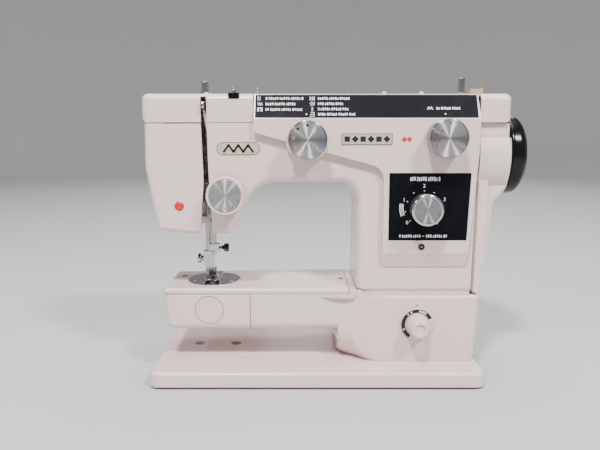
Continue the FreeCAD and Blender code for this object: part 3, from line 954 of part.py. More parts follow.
def needle_group():
    x, y = NEEDLE_X, SHAFT_Y
    spine = box(x - 5, x + 5, -1.6, 1.6, 166.0, 270.0)
    bosses = [box(x - 5, x + 5, y - 5.6, -0.6, z0, z1) for z0, z1 in ((162.0, 174.0), (250.0, 258.0))]
    face = box(x - 2.5, x + 5.6, y - 8.5, y - 5.4, 161.5, 224.0)
    face = face.cut(box(x - 5, x + 3.6, -20, 0, 180, 220))
    face = face.cut(box(x - 3, x + 1.5, -20, y - 5.5, 166, 172))
    frame = fuse(spine, *bosses, face)
    frame = frame.cut(rod(x, y, 100, Z_AXIS, NEEDLE_BAR_R + RUN, 200))
    frame = fuse(frame, rod(x, -1.0, SWING_Z, Y_AXIS, SWING_R, 5.6))
    save("needle_bar_frame", frame)
    bar = rod(x, y, 128.0, Z_AXIS, NEEDLE_BAR_R, 144.0)
    bar = bar.cut(rod(x, y, 126, Z_AXIS, 1.0, 11.5))
    collar = tube(x, y, 204.0, Z_AXIS, 6.0, NEEDLE_BAR_R, 8.0)
    collar = collar.common(box(x - 10, x + 10, y - 10, -2.0, 200, 220))
    stud = rod(x + 3.5, y, 208.0, X_AXIS, 2.2, LINK_X0 - 1.8 - x - 3.5)
    save("needle_bar", bar, collar.fuse(stud).cut(rod(x, y, 100, Z_AXIS, NEEDLE_BAR_R, 200)))
    link = fuse(tube(LINK_X0, y, 208.0, X_AXIS, 5.0, 2.5, LINK_X1 - LINK_X0),
                tube(LINK_X0, y, SHAFT_Z + CRANK_R, X_AXIS, 5.5, 3.0 + RUN, LINK_X1 - LINK_X0),
                box(LINK_X0, LINK_X1, y - 2.5, y + 2.5, 212.3, SHAFT_Z + CRANK_R - 4.7))
    save("needle_bar_link", link)
    clamp = prism_z([(x - 5.0, y - 4.8, 3), (x + 6.5, y - 4.8, 1), (x + 6.5, y + 4.8, 1),
                     (x - 5.0, y + 4.8, 3)], 130.0, 139.0)
    clamp = cut(clamp, rod(x, y, 100, Z_AXIS, NEEDLE_BAR_R, 100),
                rod(x + 3, y, CLAMP_Z - 2.5, X_AXIS, 1.5, 10))
    guide = Part.makeTorus(2.4, 0.45, V(x, y - 5.6, 131.0), Z_AXIS, 0, 360, 300)
    save("needle_clamp", fuse(clamp, guide.cut(rod(x, y, 100, Z_AXIS, NEEDLE_BAR_R, 100))))
    z = CLAMP_Z - 2.5
    thumb = fuse(rod(x + 3.2, y, z, X_AXIS, 1.5, 6.5),
                 revolve_x([(x + 9.0, 0, 0), (x + 9.0, 2.4, 0), (x + 11.0, 2.4, 0), (x + 12.0, 4.6, 0.8),
                            (x + 17.0, 4.6, 1.2), (x + 17.0, 0, 0)], y, z))
    for i in range(10):
        a = 2 * math.pi * i / 10
        thumb = thumb.cut(rod(x + 11.5, y + 4.8 * math.cos(a), z + 4.8 * math.sin(a), X_AXIS, 0.6, 8))
    save("needle_clamp_screw", thumb)
    tip = 103.0
    needle = fuse(rod(x, y, tip + 4, Z_AXIS, 0.45, 18.0), cone(x, y, tip, Z_AXIS, 0.05, 0.45, 4.0),
                  rod(x, y, 126.5, Z_AXIS, 1.0, 11.0), cone(x, y, 124.5, Z_AXIS, 0.45, 1.0, 2.0))
    needle = needle.cut(rod(x, y - 2, tip + 6.2, Y_AXIS, 0.2, 4))
    save("needle", needle)


def take_up():
    pivot_y, pivot_z = TAKE_UP
    tip_y, tip_z = -54.5, 290.5
    body = prism_x([(pivot_y + 4.0, pivot_z + 1.0, 0), (tip_y + 4.5, tip_z + 2.4, 0),
                    (tip_y, tip_z + 3.0, 2.2), (tip_y - 2.0, tip_z - 3.0, 2.2),
                    (tip_y + 6.0, tip_z - 6.0, 3), (pivot_y - 4.0, pivot_z - 1.0, 0)],
                   TAKE_X0, TAKE_X1)
    hub = tube(TAKE_X0 - 1.0, pivot_y, pivot_z, X_AXIS, 5.4, TAKE_PIN_R + RUN, 4.8)
    lever = cut(body, rod(TAKE_X0 - 3, pivot_y, pivot_z, X_AXIS, TAKE_PIN_R + RUN, 9),
                rod(TAKE_X0 - 3, tip_y + 1.6, tip_z - 0.8, X_AXIS, 1.2, 9))
    save("take_up_lever", fuse(lever, hub))


FOOT_UNDER = BED_TOP + 1.3


def presser_group():
    x, y = PRESSER_X, PRESSER_Y
    bar = rod(x, y, 120.0, Z_AXIS, PRESSER_R, 138.0)
    bracket = box(x - 5, x + 5, y + 2, 24.0, LIFTER_Z + 6.4, LIFTER_Z + 10.4)
    save("presser_bar", fuse(bar, bracket))
    spring_start, spring_end, coil = LIFTER_Z + 10.8, SHELF_Z - 0.4, 4.9
    turns = 8
    pitch = (spring_end - spring_start - 1.4) / turns
    helix = Part.makeHelix(pitch, pitch * turns, coil)
    profile = Part.Wire(Part.makeCircle(0.65, V(coil, 0, 0), Y_AXIS))
    wire = Part.Wire(helix).makePipeShell([profile], True, True)
    wire.translate(V(x, y, spring_start + 0.7))
    save("presser_spring", wire)
    # foot: shank, ankle and a sole with two toes
    shank = prism_z([(x - 6.0, y - 5.5, 1), (x + 5.5, y - 5.5, 1), (x + 5.5, y + 5.0, 2),
                     (x - 6.0, y + 5.0, 2)], 112.0, 128.0)
    shank = cut(shank, rod(x, y, 110, Z_AXIS, PRESSER_R, 30), rod(x - 8, y, 119.0, X_AXIS, 1.6, 6))
    taper = [(y - 4.5, 104.2, 0), (y + 3.5, 104.2, 0), (y + 1.5, 101.4, 0), (y - 2.5, 101.4, 0)]
    ankle = fuse(box(x - 3.4, x + 5.5, y - 4.5, y + 3.5, 104.0, 112.2), prism_x(taper, x - 0.4, x + 8.6),
                 box(x + 2, x + 8.6, y - 4.5, y + 3.5, 104.0, 108.0))
    sole_x = NEEDLE_X - 0.6
    sole = prism_z([(sole_x - 8.0, -25.0, 3), (sole_x + 8.0, -25.0, 3), (sole_x + 8.0, 17.0, 2),
                    (sole_x - 8.0, 17.0, 2)], FOOT_UNDER, FOOT_UNDER + 2.0)
    toe_gap = prism_z([(sole_x - 2.0, -30.0, 0), (sole_x + 2.6, -30.0, 0), (sole_x + 2.6, -12.0, 0),
                       (NEEDLE_X + 4.7, -8.4, 0), (NEEDLE_X + 4.7, -3.6, 0), (NEEDLE_X - 4.7, -3.6, 0),
                       (NEEDLE_X - 4.7, -8.4, 0), (sole_x - 2.0, -12.0, 0)], 90, 120)
    tips = prism_x([(-26.0, FOOT_UNDER - 1, 0), (-19.5, FOOT_UNDER - 0.01, 0),
                    (-26.0, FOOT_UNDER + 1.6, 0)], sole_x - 9, sole_x + 9)
    sole = cut(sole, toe_gap, tips)
    save("presser_foot", fuse(shank, ankle, sole))
    z = 119.0
    foot_screw = fuse(rod(x - 8.0, y, z, X_AXIS, 1.6, 4.0),
                      revolve_x([(x - 6.0, 0, 0), (x - 6.0, 3.0, 0), (x - 8.6, 3.0, 0), (x - 9.2, 5.4, 0.5),
                                 (x - 12.6, 5.4, 0.8), (x - 12.6, 0, 0)], y, z))
    foot_screw = foot_screw.cut(box(x - 13, x - 11.4, y - 7, y + 7, z - 0.6, z + 0.6))
    save("presser_foot_screw", foot_screw)
    button = revolve_z([(273.0, 0, 0), (273.0, REGULATOR_R, 0), (LID_TOP + 16.5, REGULATOR_R, 0.8),
                        (LID_TOP + 16.5, 0, 0)], x, y)
    save("pressure_regulator", button)
    # lifter: an eccentric inside the head and a lever behind it
    stem = rod(x, 17.0, LIFTER_Z, Y_AXIS, LIFTER_R, HEAD_REAR + 4 - 17.0)
    eccentric = rod(x, 17.0, LIFTER_Z - 6.0, Y_AXIS, 12.0, 6.0)
    eccentric = eccentric.cut(box(x - 20, x + 20, 10, 30, LIFTER_Z - 25, LIFTER_Z - 8.5))
    handle = prism_y([(x - 5, LIFTER_Z - 34, 4.5), (x + 5, LIFTER_Z - 34, 4.5), (x + 6.5, LIFTER_Z + 6, 6),
                      (x - 6.5, LIFTER_Z + 6, 6)], HEAD_REAR + 1.0, HEAD_REAR + 5.0)
    handle = soften(handle, 1.2, lambda b, e: at_y(b, HEAD_REAR + 5.0))
    save("presser_lifter", fuse(stem, eccentric, handle))


def regulator_collar():
    x, y = PRESSER_X, PRESSER_Y
    return revolve_z([(LID_TOP, REGULATOR_R + RUN, 0), (LID_TOP, 7.4, 0), (LID_TOP + 2.6, 7.0, 0.8),
                        (LID_TOP + 4.6, 5.4, 0.6), (LID_TOP + 4.6, REGULATOR_R + RUN, 0)], x, y)


# ---- dials ----------------------------------------------------------------------------------------
TENSION_POST_R = 3.0


def dial(x, z, front, back, radius, stem_end, stem_r=DIAL_STEM_R):
    """Turned dial on a Y axis: a cap with a shallow recess in its face, and a stem behind."""
    cap = revolve_y([(front, 0, 0), (front, radius, 0.9), (back, radius - 0.4, 0.4), (back, 0, 0)], x, z)
    face = rod(x, front - 1, z, Y_AXIS, radius - 2.4, 1.4)
    stem = rod(x, back - 1, z, Y_AXIS, stem_r, stem_end - back + 1)
    mark = rod(x, front, z + radius - 4.6, Y_AXIS, 0.9, 1.0)
    return fuse(cap.cut(face), stem).cut(mark)


def dials():
    save("pattern_dial", dial(*PATTERN, -76.0, -57.0, DIAL_R, -20.0))
    save("stitch_width_dial", dial(*WIDTH, -76.0, -57.0, DIAL_R, -20.0))
    x, z = TENSION
    tension = dial(x, z, -69.0, -54.6, DIAL_R + 0.1, -53.0, 5.5)
    save("tension_dial", tension.cut(rod(x, -60, z, Y_AXIS, TENSION_POST_R + RUN, 10)))
    post = rod(x, -59.8, z, Y_AXIS, TENSION_POST_R, 24.0)
    plate = rod(x, -46.5, z, Y_AXIS, 9.0, 2.0)
    seat = rod(x, -50.0, z, Y_AXIS, 5.0, 4.0)
    discs = []
    for y in (-52.8, -51.2):
        disc = revolve_y([(y, TENSION_POST_R + RUN, 0), (y, 12.0, 0), (y + 0.5, 12.5, 0),
                          (y + 1.1, 9.0, 0), (y + 1.1, TENSION_POST_R + RUN, 0)], x, z)
        discs.append(disc)
    save("tension_discs", fuse(post, plate, seat), *discs)
    x, z = LENGTH
    save("reverse_plunger", rod(x, -70.0, z, Y_AXIS, PLUNGER_R, 48.0))
    knob = revolve_y([(-80.0, 0, 0), (-80.0, 13.6, 0), (-79.2, 15.8, 1.0), (-64.0, 15.4, 1.0),
                      (-62.0, 14.0, 0), (-62.0, 0, 0)], x, z)
    knob = cut(knob, rod(x, -71.0, z, Y_AXIS, PLUNGER_R + RUN, 20), rod(x, -81.0, z, Y_AXIS, 12.6, 1.4))
    save("stitch_length_knob", knob)
    base = revolve_y([(-54.0, 0, 0), (-54.0, 17.2, 0.8), (BLOCK_FRONT - 0.3, 17.8, 0),
                      (BLOCK_FRONT - 0.3, 0, 0)], *DROP)
    grip = revolve_y([(-72.0, 0, 0), (-72.0, 9.5, 2.0), (-57.0, 12.6, 1.0), (-53.8, 12.6, 0),
                      (-53.8, 0, 0)], *DROP)
    grip = grip.cut(revolve_y([(-73.0, 0, 0), (-73.0, 6.0, 0), (-70.6, 4.8, 0.6), (-70.6, 0, 0)], *DROP))
    stem = rod(DROP[0], -54.0, DROP[1], Y_AXIS, DIAL_STEM_R, 20.0)
    save("drop_feed_dial", fuse(base, grip, stem))


def stitch_cams():
    """Stack of pattern cams on a spindle inside the arm, behind the pattern dial."""
    shift = rod(CAM_X, -36.0, CAM_Z, Y_AXIS, 3.0, 17.0)
    discs = []
    for i in range(5):
        y = -35.0 + 2.4 * i
        lobes = 3 + i
        points = []
        for k in range(24):
            a = 2 * math.pi * k / 24
            r = 11.0 + 1.0 * math.cos(lobes * a)
            points.append(V(CAM_X + r * math.cos(a), y, CAM_Z + r * math.sin(a)))
        curve = Part.BSplineCurve()
        curve.interpolate(points, PeriodicFlag=True)
        discs.append(Part.Face(Part.Wire(curve.toShape())).extrude(V(0, 1.8, 0)))
    save("stitch_cams", fuse(shift, *discs))


# ---- top of the machine ---------------------------------------------------------------------------
SPOOLS = {"spool_pin_left": 51.0, "spool_pin_right": 90.0}
SPOOL_X = tuple(SPOOLS.values())
SPOOL_LENGTH, WINDER_STOP_X = 51.0, 147.5
WINDER_X, TOP_ROW_Y, SPOOL_R = 132.0, -24.0, 2.6
STOP_SCREW_R = 1.8
THREAD_GUIDE, THREAD_GUIDE_R = (-104.5, -42.0), 1.4     # saddle and discs on the lid's front edge
THREAD_HOOK, THREAD_HOOK_R = (-81.5, -34.0), 0.8        # wire hook behind them


def top_fittings():
    top = LID_TOP + 3.4
    for node, x in SPOOLS.items():
        foot = top - SPOOL_LENGTH
        save(node, revolve_z([(foot, 0, 0), (foot, SPOOL_R, 0), (top, SPOOL_R, 1.6), (top, 0, 0)],
                             x, TOP_ROW_Y))
    spindle = revolve_z([(LID_TOP - 22.0, 0, 0), (LID_TOP - 22.0, SPOOL_R, 0), (LID_TOP + 0.8, SPOOL_R, 0),
                         (LID_TOP + 0.8, 6.0, 0.4), (LID_TOP + 2.4, 6.0, 0.4), (LID_TOP + 2.4, 3.6, 0),
                         (LID_TOP + 17.0, 3.6, 0.8), (LID_TOP + 17.0, 0, 0)], WINDER_X, TOP_ROW_Y)
    spindle = spindle.cut(box(WINDER_X - 0.5, WINDER_X + 0.5, -40, 0, LID_TOP + 6, LID_TOP + 20))
    save("bobbin_winder_spindle", spindle)
    x = WINDER_STOP_X
    stop = prism_z([(x - 7.3, TOP_ROW_Y - 4, 1.5), (x + 6, TOP_ROW_Y - 5, 1.5), (x + 6, TOP_ROW_Y + 5, 1.5),
                    (x - 7.3, TOP_ROW_Y + 4, 1.5)], LID_TOP + 0.4, LID_TOP + 6.0)
    stop = stop.fuse(box(x + 3, x + 6, TOP_ROW_Y - 4, TOP_ROW_Y + 4, LID_TOP + 5.5, LID_TOP + 7.2))
    stop = stop.cut(rod(x, TOP_ROW_Y, LID_TOP - 1, Z_AXIS, STOP_SCREW_R + RUN, 20))
    save("bobbin_winder_stop", stop.removeSplitter())
    # front thread guide: a dark saddle on the lid's edge with two chrome tension discs and a hook
    x, y = THREAD_GUIDE
    saddle = box(x - 5.5, x + 5.5, HEAD_FRONT - 0.6, y + 6, LID_TOP - 5.0, LID_TOP + 0.6)
    saddle = cut(saddle, prism_x(lid_section(), -150, 0), rod(x, y, 250, Z_AXIS, THREAD_GUIDE_R, 80))
    post = rod(x, y, LID_TOP - 2, Z_AXIS, THREAD_GUIDE_R, 7.5)
    discs = [rod(x, y, LID_TOP + z, Z_AXIS, r, 0.8) for z, r in ((1.2, 5.2), (2.4, 5.2), (4.6, 3.0))]
    save("slot_trim", saddle, slot_shield())
    hook_post = rod(*THREAD_HOOK, LID_TOP - 2.4, Z_AXIS, THREAD_HOOK_R, 4.6)
    loop = Part.makeTorus(2.2, 0.6, V(*THREAD_HOOK, LID_TOP + 4.2), X_AXIS)
    save("thread_guides", fuse(post, *discs), fuse(hook_post, loop), regulator_collar())


def winder_stop_screw():
    x = WINDER_STOP_X
    return fuse(rod(x, TOP_ROW_Y, LID_TOP - 2.4, Z_AXIS, STOP_SCREW_R, 9.0),
                rod(x, TOP_ROW_Y, LID_TOP + 6.4, Z_AXIS, 2.6, 0.8))


def main():
    os.makedirs("parts", exist_ok=True)
    for make in (base_plate, rubber_feet, lower_housing, power_inlet, hook_cover, bed_plate, needle_plate,
                 screws_and_pins, feed_parts, hook_parts, belts_and_motor_pulley, main_shaft_parts, motor,
                 arm_casting, rear_cover, top_cover, front_panel, printed_plates, face_cover,
                 light_switch_button, lamp, side_cover, needle_group, take_up, presser_group, dials,
                 stitch_cams, top_fittings):
        make()


main()
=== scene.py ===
import json
import math

import bmesh
import bpy
from mathutils import Matrix, Vector


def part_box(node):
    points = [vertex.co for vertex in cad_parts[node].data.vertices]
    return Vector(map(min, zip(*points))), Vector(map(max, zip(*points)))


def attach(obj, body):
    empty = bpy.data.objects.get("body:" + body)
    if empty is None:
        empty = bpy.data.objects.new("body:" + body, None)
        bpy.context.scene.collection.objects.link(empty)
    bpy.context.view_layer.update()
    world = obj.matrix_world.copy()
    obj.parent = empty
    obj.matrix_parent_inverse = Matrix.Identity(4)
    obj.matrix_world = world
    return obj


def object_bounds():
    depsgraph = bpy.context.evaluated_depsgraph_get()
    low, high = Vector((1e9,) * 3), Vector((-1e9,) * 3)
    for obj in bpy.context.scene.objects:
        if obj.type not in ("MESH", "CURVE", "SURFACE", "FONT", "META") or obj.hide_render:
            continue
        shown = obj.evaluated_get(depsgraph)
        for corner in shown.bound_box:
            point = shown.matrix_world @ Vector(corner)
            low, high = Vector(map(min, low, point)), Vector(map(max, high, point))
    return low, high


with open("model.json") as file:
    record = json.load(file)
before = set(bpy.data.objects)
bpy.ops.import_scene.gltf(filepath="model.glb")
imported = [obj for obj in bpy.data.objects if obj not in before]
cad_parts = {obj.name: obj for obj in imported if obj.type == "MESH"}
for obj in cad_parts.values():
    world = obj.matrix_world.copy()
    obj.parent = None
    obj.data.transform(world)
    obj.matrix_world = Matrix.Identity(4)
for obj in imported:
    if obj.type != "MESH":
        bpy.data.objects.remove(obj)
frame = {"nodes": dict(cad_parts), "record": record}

# Looks of the free-arm sewing machine: enamel, spun dials, printed plates and bright parts.
# Blender's lengths are metres. MM turns the millimetres used below into metres.
MM = 0.001
CAD_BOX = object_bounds()
NODES = frame["nodes"]


# ---- material building ---------------------------------------------------------------------------
class Look:
    """A material with one Principled shader. add() makes a node; tie() feeds one of the shader's inputs."""

    def __init__(self, name, **inputs):
        self.material = bpy.data.materials.new(name)
        self.material.use_nodes = True
        self.tree = self.material.node_tree
        self.tree.nodes.clear()
        self.shader = self.add("ShaderNodeBsdfPrincipled")
        output = self.add("ShaderNodeOutputMaterial")
        self.tree.links.new(self.shader.outputs[0], output.inputs["Surface"])
        for key, value in inputs.items():
            self.shader.inputs[key.replace("_", " ")].default_value = value
        self.place = self.add("ShaderNodeTexCoord").outputs["Object"]

    def feed(self, socket, value):
        """Links value to the socket if it is a node's output, and sets it there if it is a plain number."""
        if isinstance(value, bpy.types.NodeSocket):
            self.tree.links.new(value, socket)
        else:
            socket.default_value = value

    def add(self, kind, inputs=None, **settings):
        node = self.tree.nodes.new(kind)
        for key, value in settings.items():
            setattr(node, key, value)
        for key, value in (inputs or {}).items():
            self.feed(node.inputs[key], value)
        return node

    def tie(self, name, socket):
        self.tree.links.new(socket, self.shader.inputs[name])

    def noise(self, scale, detail=2.0, roughness=0.5, place=None):
        inputs = {"Vector": place or self.place, "Scale": scale, "Detail": detail, "Roughness": roughness}
        return self.add("ShaderNodeTexNoise", inputs).outputs["Fac"]

    def brushed(self, grain):
        """Fine lines: noise stretched by its frequency along X, Y and Z."""
        stretched = self.add("ShaderNodeMapping", {"Vector": self.place, "Scale": grain}).outputs[0]
        return self.noise(8.0, 3.0, 0.6, stretched)

    def spread(self, value, low, high, to_low, to_high):
        """value between low and high, spread over to_low to to_high."""
        return self.add("ShaderNodeMapRange", {"Value": value, "From Min": low, "From Max": high,
                                               "To Min": to_low, "To Max": to_high}).outputs["Result"]

    def math(self, operation, a, b):
        return self.add("ShaderNodeMath", {0: a, 1: b}, operation=operation).outputs[0]

    def vector_math(self, operation, *values):
        return self.add("ShaderNodeVectorMath", dict(enumerate(values)), operation=operation)

    def mix(self, share, a, b):
        """Colour a where share is 0 and b where it is 1."""
        node = self.add("ShaderNodeMix", data_type="RGBA", blend_type="MIX")
        for index, value in ((0, share), (6, a), (7, b)):
            self.feed(node.inputs[index], value)
        return node.outputs[2]

    def bump(self, height, depth, normal, strength):
        inputs = {"Height": height, "Distance": depth, "Strength": strength}
        if normal:
            inputs["Normal"] = normal
        return self.add("ShaderNodeBump", inputs).outputs["Normal"]

    def round_edges(self, radius):
        return self.add("ShaderNodeBevel", {"Radius": radius}, samples=4).outputs["Normal"]

    def edge_mask(self, soft_normal):
        """1 on convex and concave edges, where the rounded normal leaves the true one, and 0 on the flats."""
        flat = self.add("ShaderNodeNewGeometry").outputs["Normal"]
        dot = self.vector_math("DOT_PRODUCT", soft_normal, flat).outputs["Value"]
        return self.spread(dot, 0.995, 0.90, 0.0, 1.0)


def rgb(r, g, b):
    return (r, g, b, 1.0)


def darker(colour, share):
    """A colour of three numbers, each cut to a share of itself."""
    return rgb(*(share * c for c in colour))


SPECK_BROWN = rgb(0.40, 0.31, 0.24)
# brown of the painted shade in the cream's corners and creases
PAINTED_SHADE_BROWN = rgb(0.33, 0.25, 0.19)
WORN_GREY = rgb(0.36, 0.32, 0.28)
DUST_GREY = rgb(0.07, 0.065, 0.06)


def cream(name, base, warm, gloss, peel):
    """Old cream enamel or moulded cream plastic: faint yellowing, patchy painted shade in the corners, worn
    edges.
    """
    look = Look(name, Coat_Weight=0.35, Coat_Roughness=0.12, Specular_IOR_Level=0.5)
    soft = look.round_edges(0.7 * MM)
    tone = look.spread(look.noise(9.0, 4.0), 0.35, 0.7, 0.0, 1.0)
    colour = look.mix(tone, base, warm)
    specks = look.spread(look.noise(420.0, 3.0, 0.7), 0.70, 0.76, 0.0, 0.35)
    colour = look.mix(specks, colour, SPECK_BROWN)
    # painted shade: brown darkening where ambient occlusion finds corners and creases, broken into patches by
    # noise
    shade = look.add("ShaderNodeAmbientOcclusion", {"Distance": 7 * MM}, samples=4).outputs["AO"]
    painted_corner_shade = look.math("MULTIPLY", look.spread(shade, 0.25, 0.85, 0.55, 0.0), look.noise(60.0, 3.0))
    colour = look.mix(painted_corner_shade, colour, PAINTED_SHADE_BROWN)
    chips = look.spread(look.noise(260.0, 4.0, 0.65), 0.60, 0.66, 0.0, 0.8)
    worn = look.math("MULTIPLY", look.edge_mask(soft), chips)
    look.tie("Base Color", look.mix(worn, colour, WORN_GREY))
    look.tie("Roughness", look.spread(look.noise(35.0, 4.0, 0.6), 0.3, 0.75, gloss, gloss + 0.12))
    look.tie("Normal", look.bump(look.noise(peel), 0.05 * MM, soft, 0.35))
    return look.material


def black_gloss(name, base, rough, dust, shine):
    """Black plastic or black print with a thin film of dust and fine scratches."""
    look = Look(name, Specular_IOR_Level=shine)
    soft = look.round_edges(0.5 * MM)
    film = look.spread(look.noise(70.0, 5.0, 0.65), 0.5, 0.85, 0.0, dust)
    look.tie("Base Color", look.mix(film, base, DUST_GREY))
    look.tie("Roughness", look.spread(look.noise(110.0, 4.0), 0.3, 0.8, rough, rough + 0.14))
    look.tie("Normal", look.bump(look.noise(800.0), 0.01 * MM, soft, 0.4))
    return look.material


def metal(name, base, rough, grain=(60.0, 60.0, 60.0), depth=0.01, tarnish=0.0, dark=(0.2, 0.17, 0.14)):
    """Metal with a grain stretched along one axis: grain is noise frequency per metre along X, Y and Z."""
    look = Look(name, Metallic=1.0)
    soft = look.round_edges(0.3 * MM)
    lines = look.brushed(grain)
    stains = look.spread(look.noise(90.0, 5.0, 0.7), 0.55, 0.8, 0.0, tarnish)
    colour = look.mix(stains, rgb(*base), rgb(*dark))
    streaks = look.spread(lines, 0.3, 0.7, 0.0, 0.22)
    look.tie("Base Color", look.mix(streaks, colour, darker(base, 0.7)))
    look.tie("Roughness", look.spread(lines, 0.2, 0.8, rough, rough + 0.14))
    look.tie("Normal", look.bump(lines, depth * MM, soft, 0.5))
    return look.material


def spun(name, base=(0.60, 0.575, 0.585), rim=0.905, side=(0.42, 0.40, 0.39), depth=0.028, side_metal=1.0):
    """Turned aluminium whose bright fans come from grooves round the dial's own axis.

    rim and depth are shares of the dial's box: outside that radius, or further back than that depth, the
    surface is the darker side band."""
    look = Look(name, Metallic=1.0, Anisotropic=0.985, Anisotropic_Rotation=0.25)
    box_place = look.add("ShaderNodeTexCoord").outputs["Generated"]
    centred = look.vector_math("SUBTRACT", box_place, (0.5, 0.5, 0.5)).outputs[0]
    parts = look.add("ShaderNodeSeparateXYZ", {0: centred})
    flat = look.add("ShaderNodeCombineXYZ", {"X": parts.outputs["X"], "Z": parts.outputs["Z"]}).outputs[0]
    radius = look.vector_math("LENGTH", flat).outputs["Value"]
    across = look.math("MULTIPLY", radius, 190.0)
    rings = look.add("ShaderNodeTexNoise", {"W": across, "Scale": 1.0, "Detail": 3.0},
                     noise_dimensions="1D").outputs["Fac"]
    back = look.math("GREATER_THAN", look.math("ADD", parts.outputs["Y"], 0.5), depth)
    outer = look.math("GREATER_THAN", radius, rim / 2)
    band = look.math("MAXIMUM", back, outer)
    face = look.mix(look.spread(rings, 0.3, 0.7, 0.0, 0.5), rgb(*base), darker(base, 0.62))
    look.tie("Base Color", look.mix(band, face, rgb(*side)))
    look.tie("Roughness", look.spread(rings, 0.25, 0.75, 0.30, 0.36))
    if side_metal < 1.0:
        look.tie("Metallic", look.spread(band, 0.0, 1.0, 1.0, side_metal))
    look.tie("Normal", look.bump(rings, 0.02 * MM, None, 0.25))
    look.tie("Tangent", look.add("ShaderNodeTangent", direction_type="RADIAL", axis="Y").outputs[0])
    return look.material


def paint(name, colour):
    """Screen-printed ink, slightly uneven in cover."""
    look = Look(name, Specular_IOR_Level=0.4)
    cover = look.spread(look.noise(900.0, 3.0), 0.3, 0.8, 0.0, 0.30)
    look.tie("Base Color", look.mix(cover, rgb(*colour), darker(colour, 0.75)))
    look.tie("Roughness", look.spread(look.noise(500.0), 0.3, 0.7, 0.45, 0.60))
    return look.material


def plain_plastic(name, colour, rough, **inputs):
    """Plastic, rubber or glass of one slightly uneven colour."""
    look = Look(name, **inputs)
    soft = look.round_edges(0.3 * MM)
    tone = look.spread(look.noise(140.0, 3.0), 0.3, 0.7, 0.0, 0.35)
    look.tie("Base Color", look.mix(tone, rgb(*colour), darker(colour, 0.72)))
    look.tie("Roughness", look.spread(look.noise(80.0, 3.0), 0.3, 0.7, rough, rough + 0.12))
    look.tie("Normal", look.bump(look.noise(900.0), 0.02 * MM, soft, 0.4))
    return look.material


def badge_metal(name):
    """Aged brass-coloured badge with a brushed face."""
    look = Look(name, Metallic=0.55, Coat_Weight=0.3, Coat_Roughness=0.2)
    soft = look.round_edges(0.2 * MM)
    lines = look.brushed((20.0, 200.0, 400.0))
    age = look.spread(look.noise(160.0, 5.0, 0.7), 0.45, 0.75, 0.0, 0.7)
    look.tie("Base Color", look.mix(age, rgb(0.66, 0.57, 0.45), rgb(0.80, 0.72, 0.66)))
    look.tie("Roughness", look.spread(lines, 0.3, 0.7, 0.38, 0.55))
    look.tie("Normal", look.bump(lines, 0.01 * MM, soft, 0.4))
    return look.material


# ---- looks ---------------------------------------------------------------------------------------
CREAM = rgb(0.760, 0.610, 0.605)
CREAM_WARM = rgb(0.745, 0.592, 0.560)
PLASTIC_CREAM = rgb(0.745, 0.600, 0.585)
PLASTIC_WARM = rgb(0.730, 0.580, 0.545)
LOOKS = {
    "cream_enamel": cream("cream_enamel", CREAM, CREAM_WARM, 0.26, 650.0),
    "cream_plastic": cream("cream_plastic", PLASTIC_CREAM, PLASTIC_WARM, 0.30, 1100.0),
    "black_plastic": black_gloss("black_plastic", rgb(0.004, 0.004, 0.005), 0.11, 0.10, 0.24),
    "dark_plastic": black_gloss("dark_plastic", rgb(0.010, 0.010, 0.011), 0.42, 0.4, 0.25),
    "printed_black": black_gloss("printed_black", rgb(0.004, 0.004, 0.007), 0.40, 0.06, 0.06),
    "spun_aluminium": spun("spun_aluminium"),
    "cast_aluminium": metal("cast_aluminium", (0.55, 0.55, 0.56), 0.42, depth=0.08, tarnish=0.4),
    "chrome_steel": metal("chrome_steel", (0.60, 0.59, 0.60), 0.08, depth=0.004, tarnish=0.45,
                          dark=(0.10, 0.09, 0.09)),
    "steel": metal("steel", (0.56, 0.55, 0.54), 0.26, (40.0, 40.0, 8.0), tarnish=0.35),
    "polished_steel": metal("polished_steel", (0.50, 0.49, 0.49), 0.14, (10.0, 90.0, 90.0), tarnish=0.3),
    "bronze": metal("bronze", (0.60, 0.40, 0.20), 0.35, depth=0.04, tarnish=0.5),
    "rubber": plain_plastic("rubber", (0.020, 0.020, 0.020), 0.70),
    "red_plastic": plain_plastic("red_plastic", (0.62, 0.018, 0.020), 0.22, Coat_Weight=0.3),
    "tan_plastic": plain_plastic("tan_plastic", (0.50, 0.34, 0.20), 0.30, Coat_Weight=0.3),
    "bulb_glass": plain_plastic("bulb_glass", (0.93, 0.92, 0.88), 0.03, Transmission_Weight=0.9, IOR=1.45),
    "badge": badge_metal("badge"),
}
INK = {
    "white": paint("ink_white", (0.74, 0.74, 0.76)),
    "black": paint("ink_black", (0.012, 0.011, 0.011)),
    "brown": paint("ink_brown", (0.10, 0.055, 0.03)),
    "orange": paint("ink_orange", (0.72, 0.16, 0.05)),
    "blue": paint("ink_blue", (0.06, 0.075, 0.34)),
    "red": paint("ink_red", (0.68, 0.03, 0.02)),
    "maroon": paint("ink_maroon", (0.20, 0.03, 0.04)),
}
KNOB_LOOK = spun("spun_knob", base=(0.40, 0.38, 0.39), rim=1.1, side=(0.030, 0.026, 0.025), depth=0.06,
                 side_metal=0.0)
TENSION_LOOK = spun("spun_tension", base=(0.55, 0.55, 0.56), rim=0.97, side=(0.30, 0.29, 0.29), depth=2.0)
# dark metal for the screw heads: painted shade of screws sunk in their holes
SCREW_SHADE_DARK = metal("screw_painted_shade", (0.05, 0.035, 0.03), 0.35, tarnish=0.4)
NODE_LOOKS = {"stitch_length_knob": KNOB_LOOK, "presser_foot_screw": LOOKS["chrome_steel"]}

for part in frame["record"]["subparts"]:
    mesh = NODES[part["node"]].data
    mesh.materials.clear()
    mesh.materials.append(NODE_LOOKS.get(part["node"], LOOKS[part["material_slot"]]))


# ---- mesh building -------------------------------------------------------------------------------
def middle(node):
    low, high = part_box(node)
    return (Vector(low) + Vector(high)) / 2


def dial_shape(node):
    """Centre, front Y and outer radius of a round node that faces the front, in metres."""
    low, high = (Vector(v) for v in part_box(node))
    return (low + high) / 2, low.y, (high.x - low.x) / 2


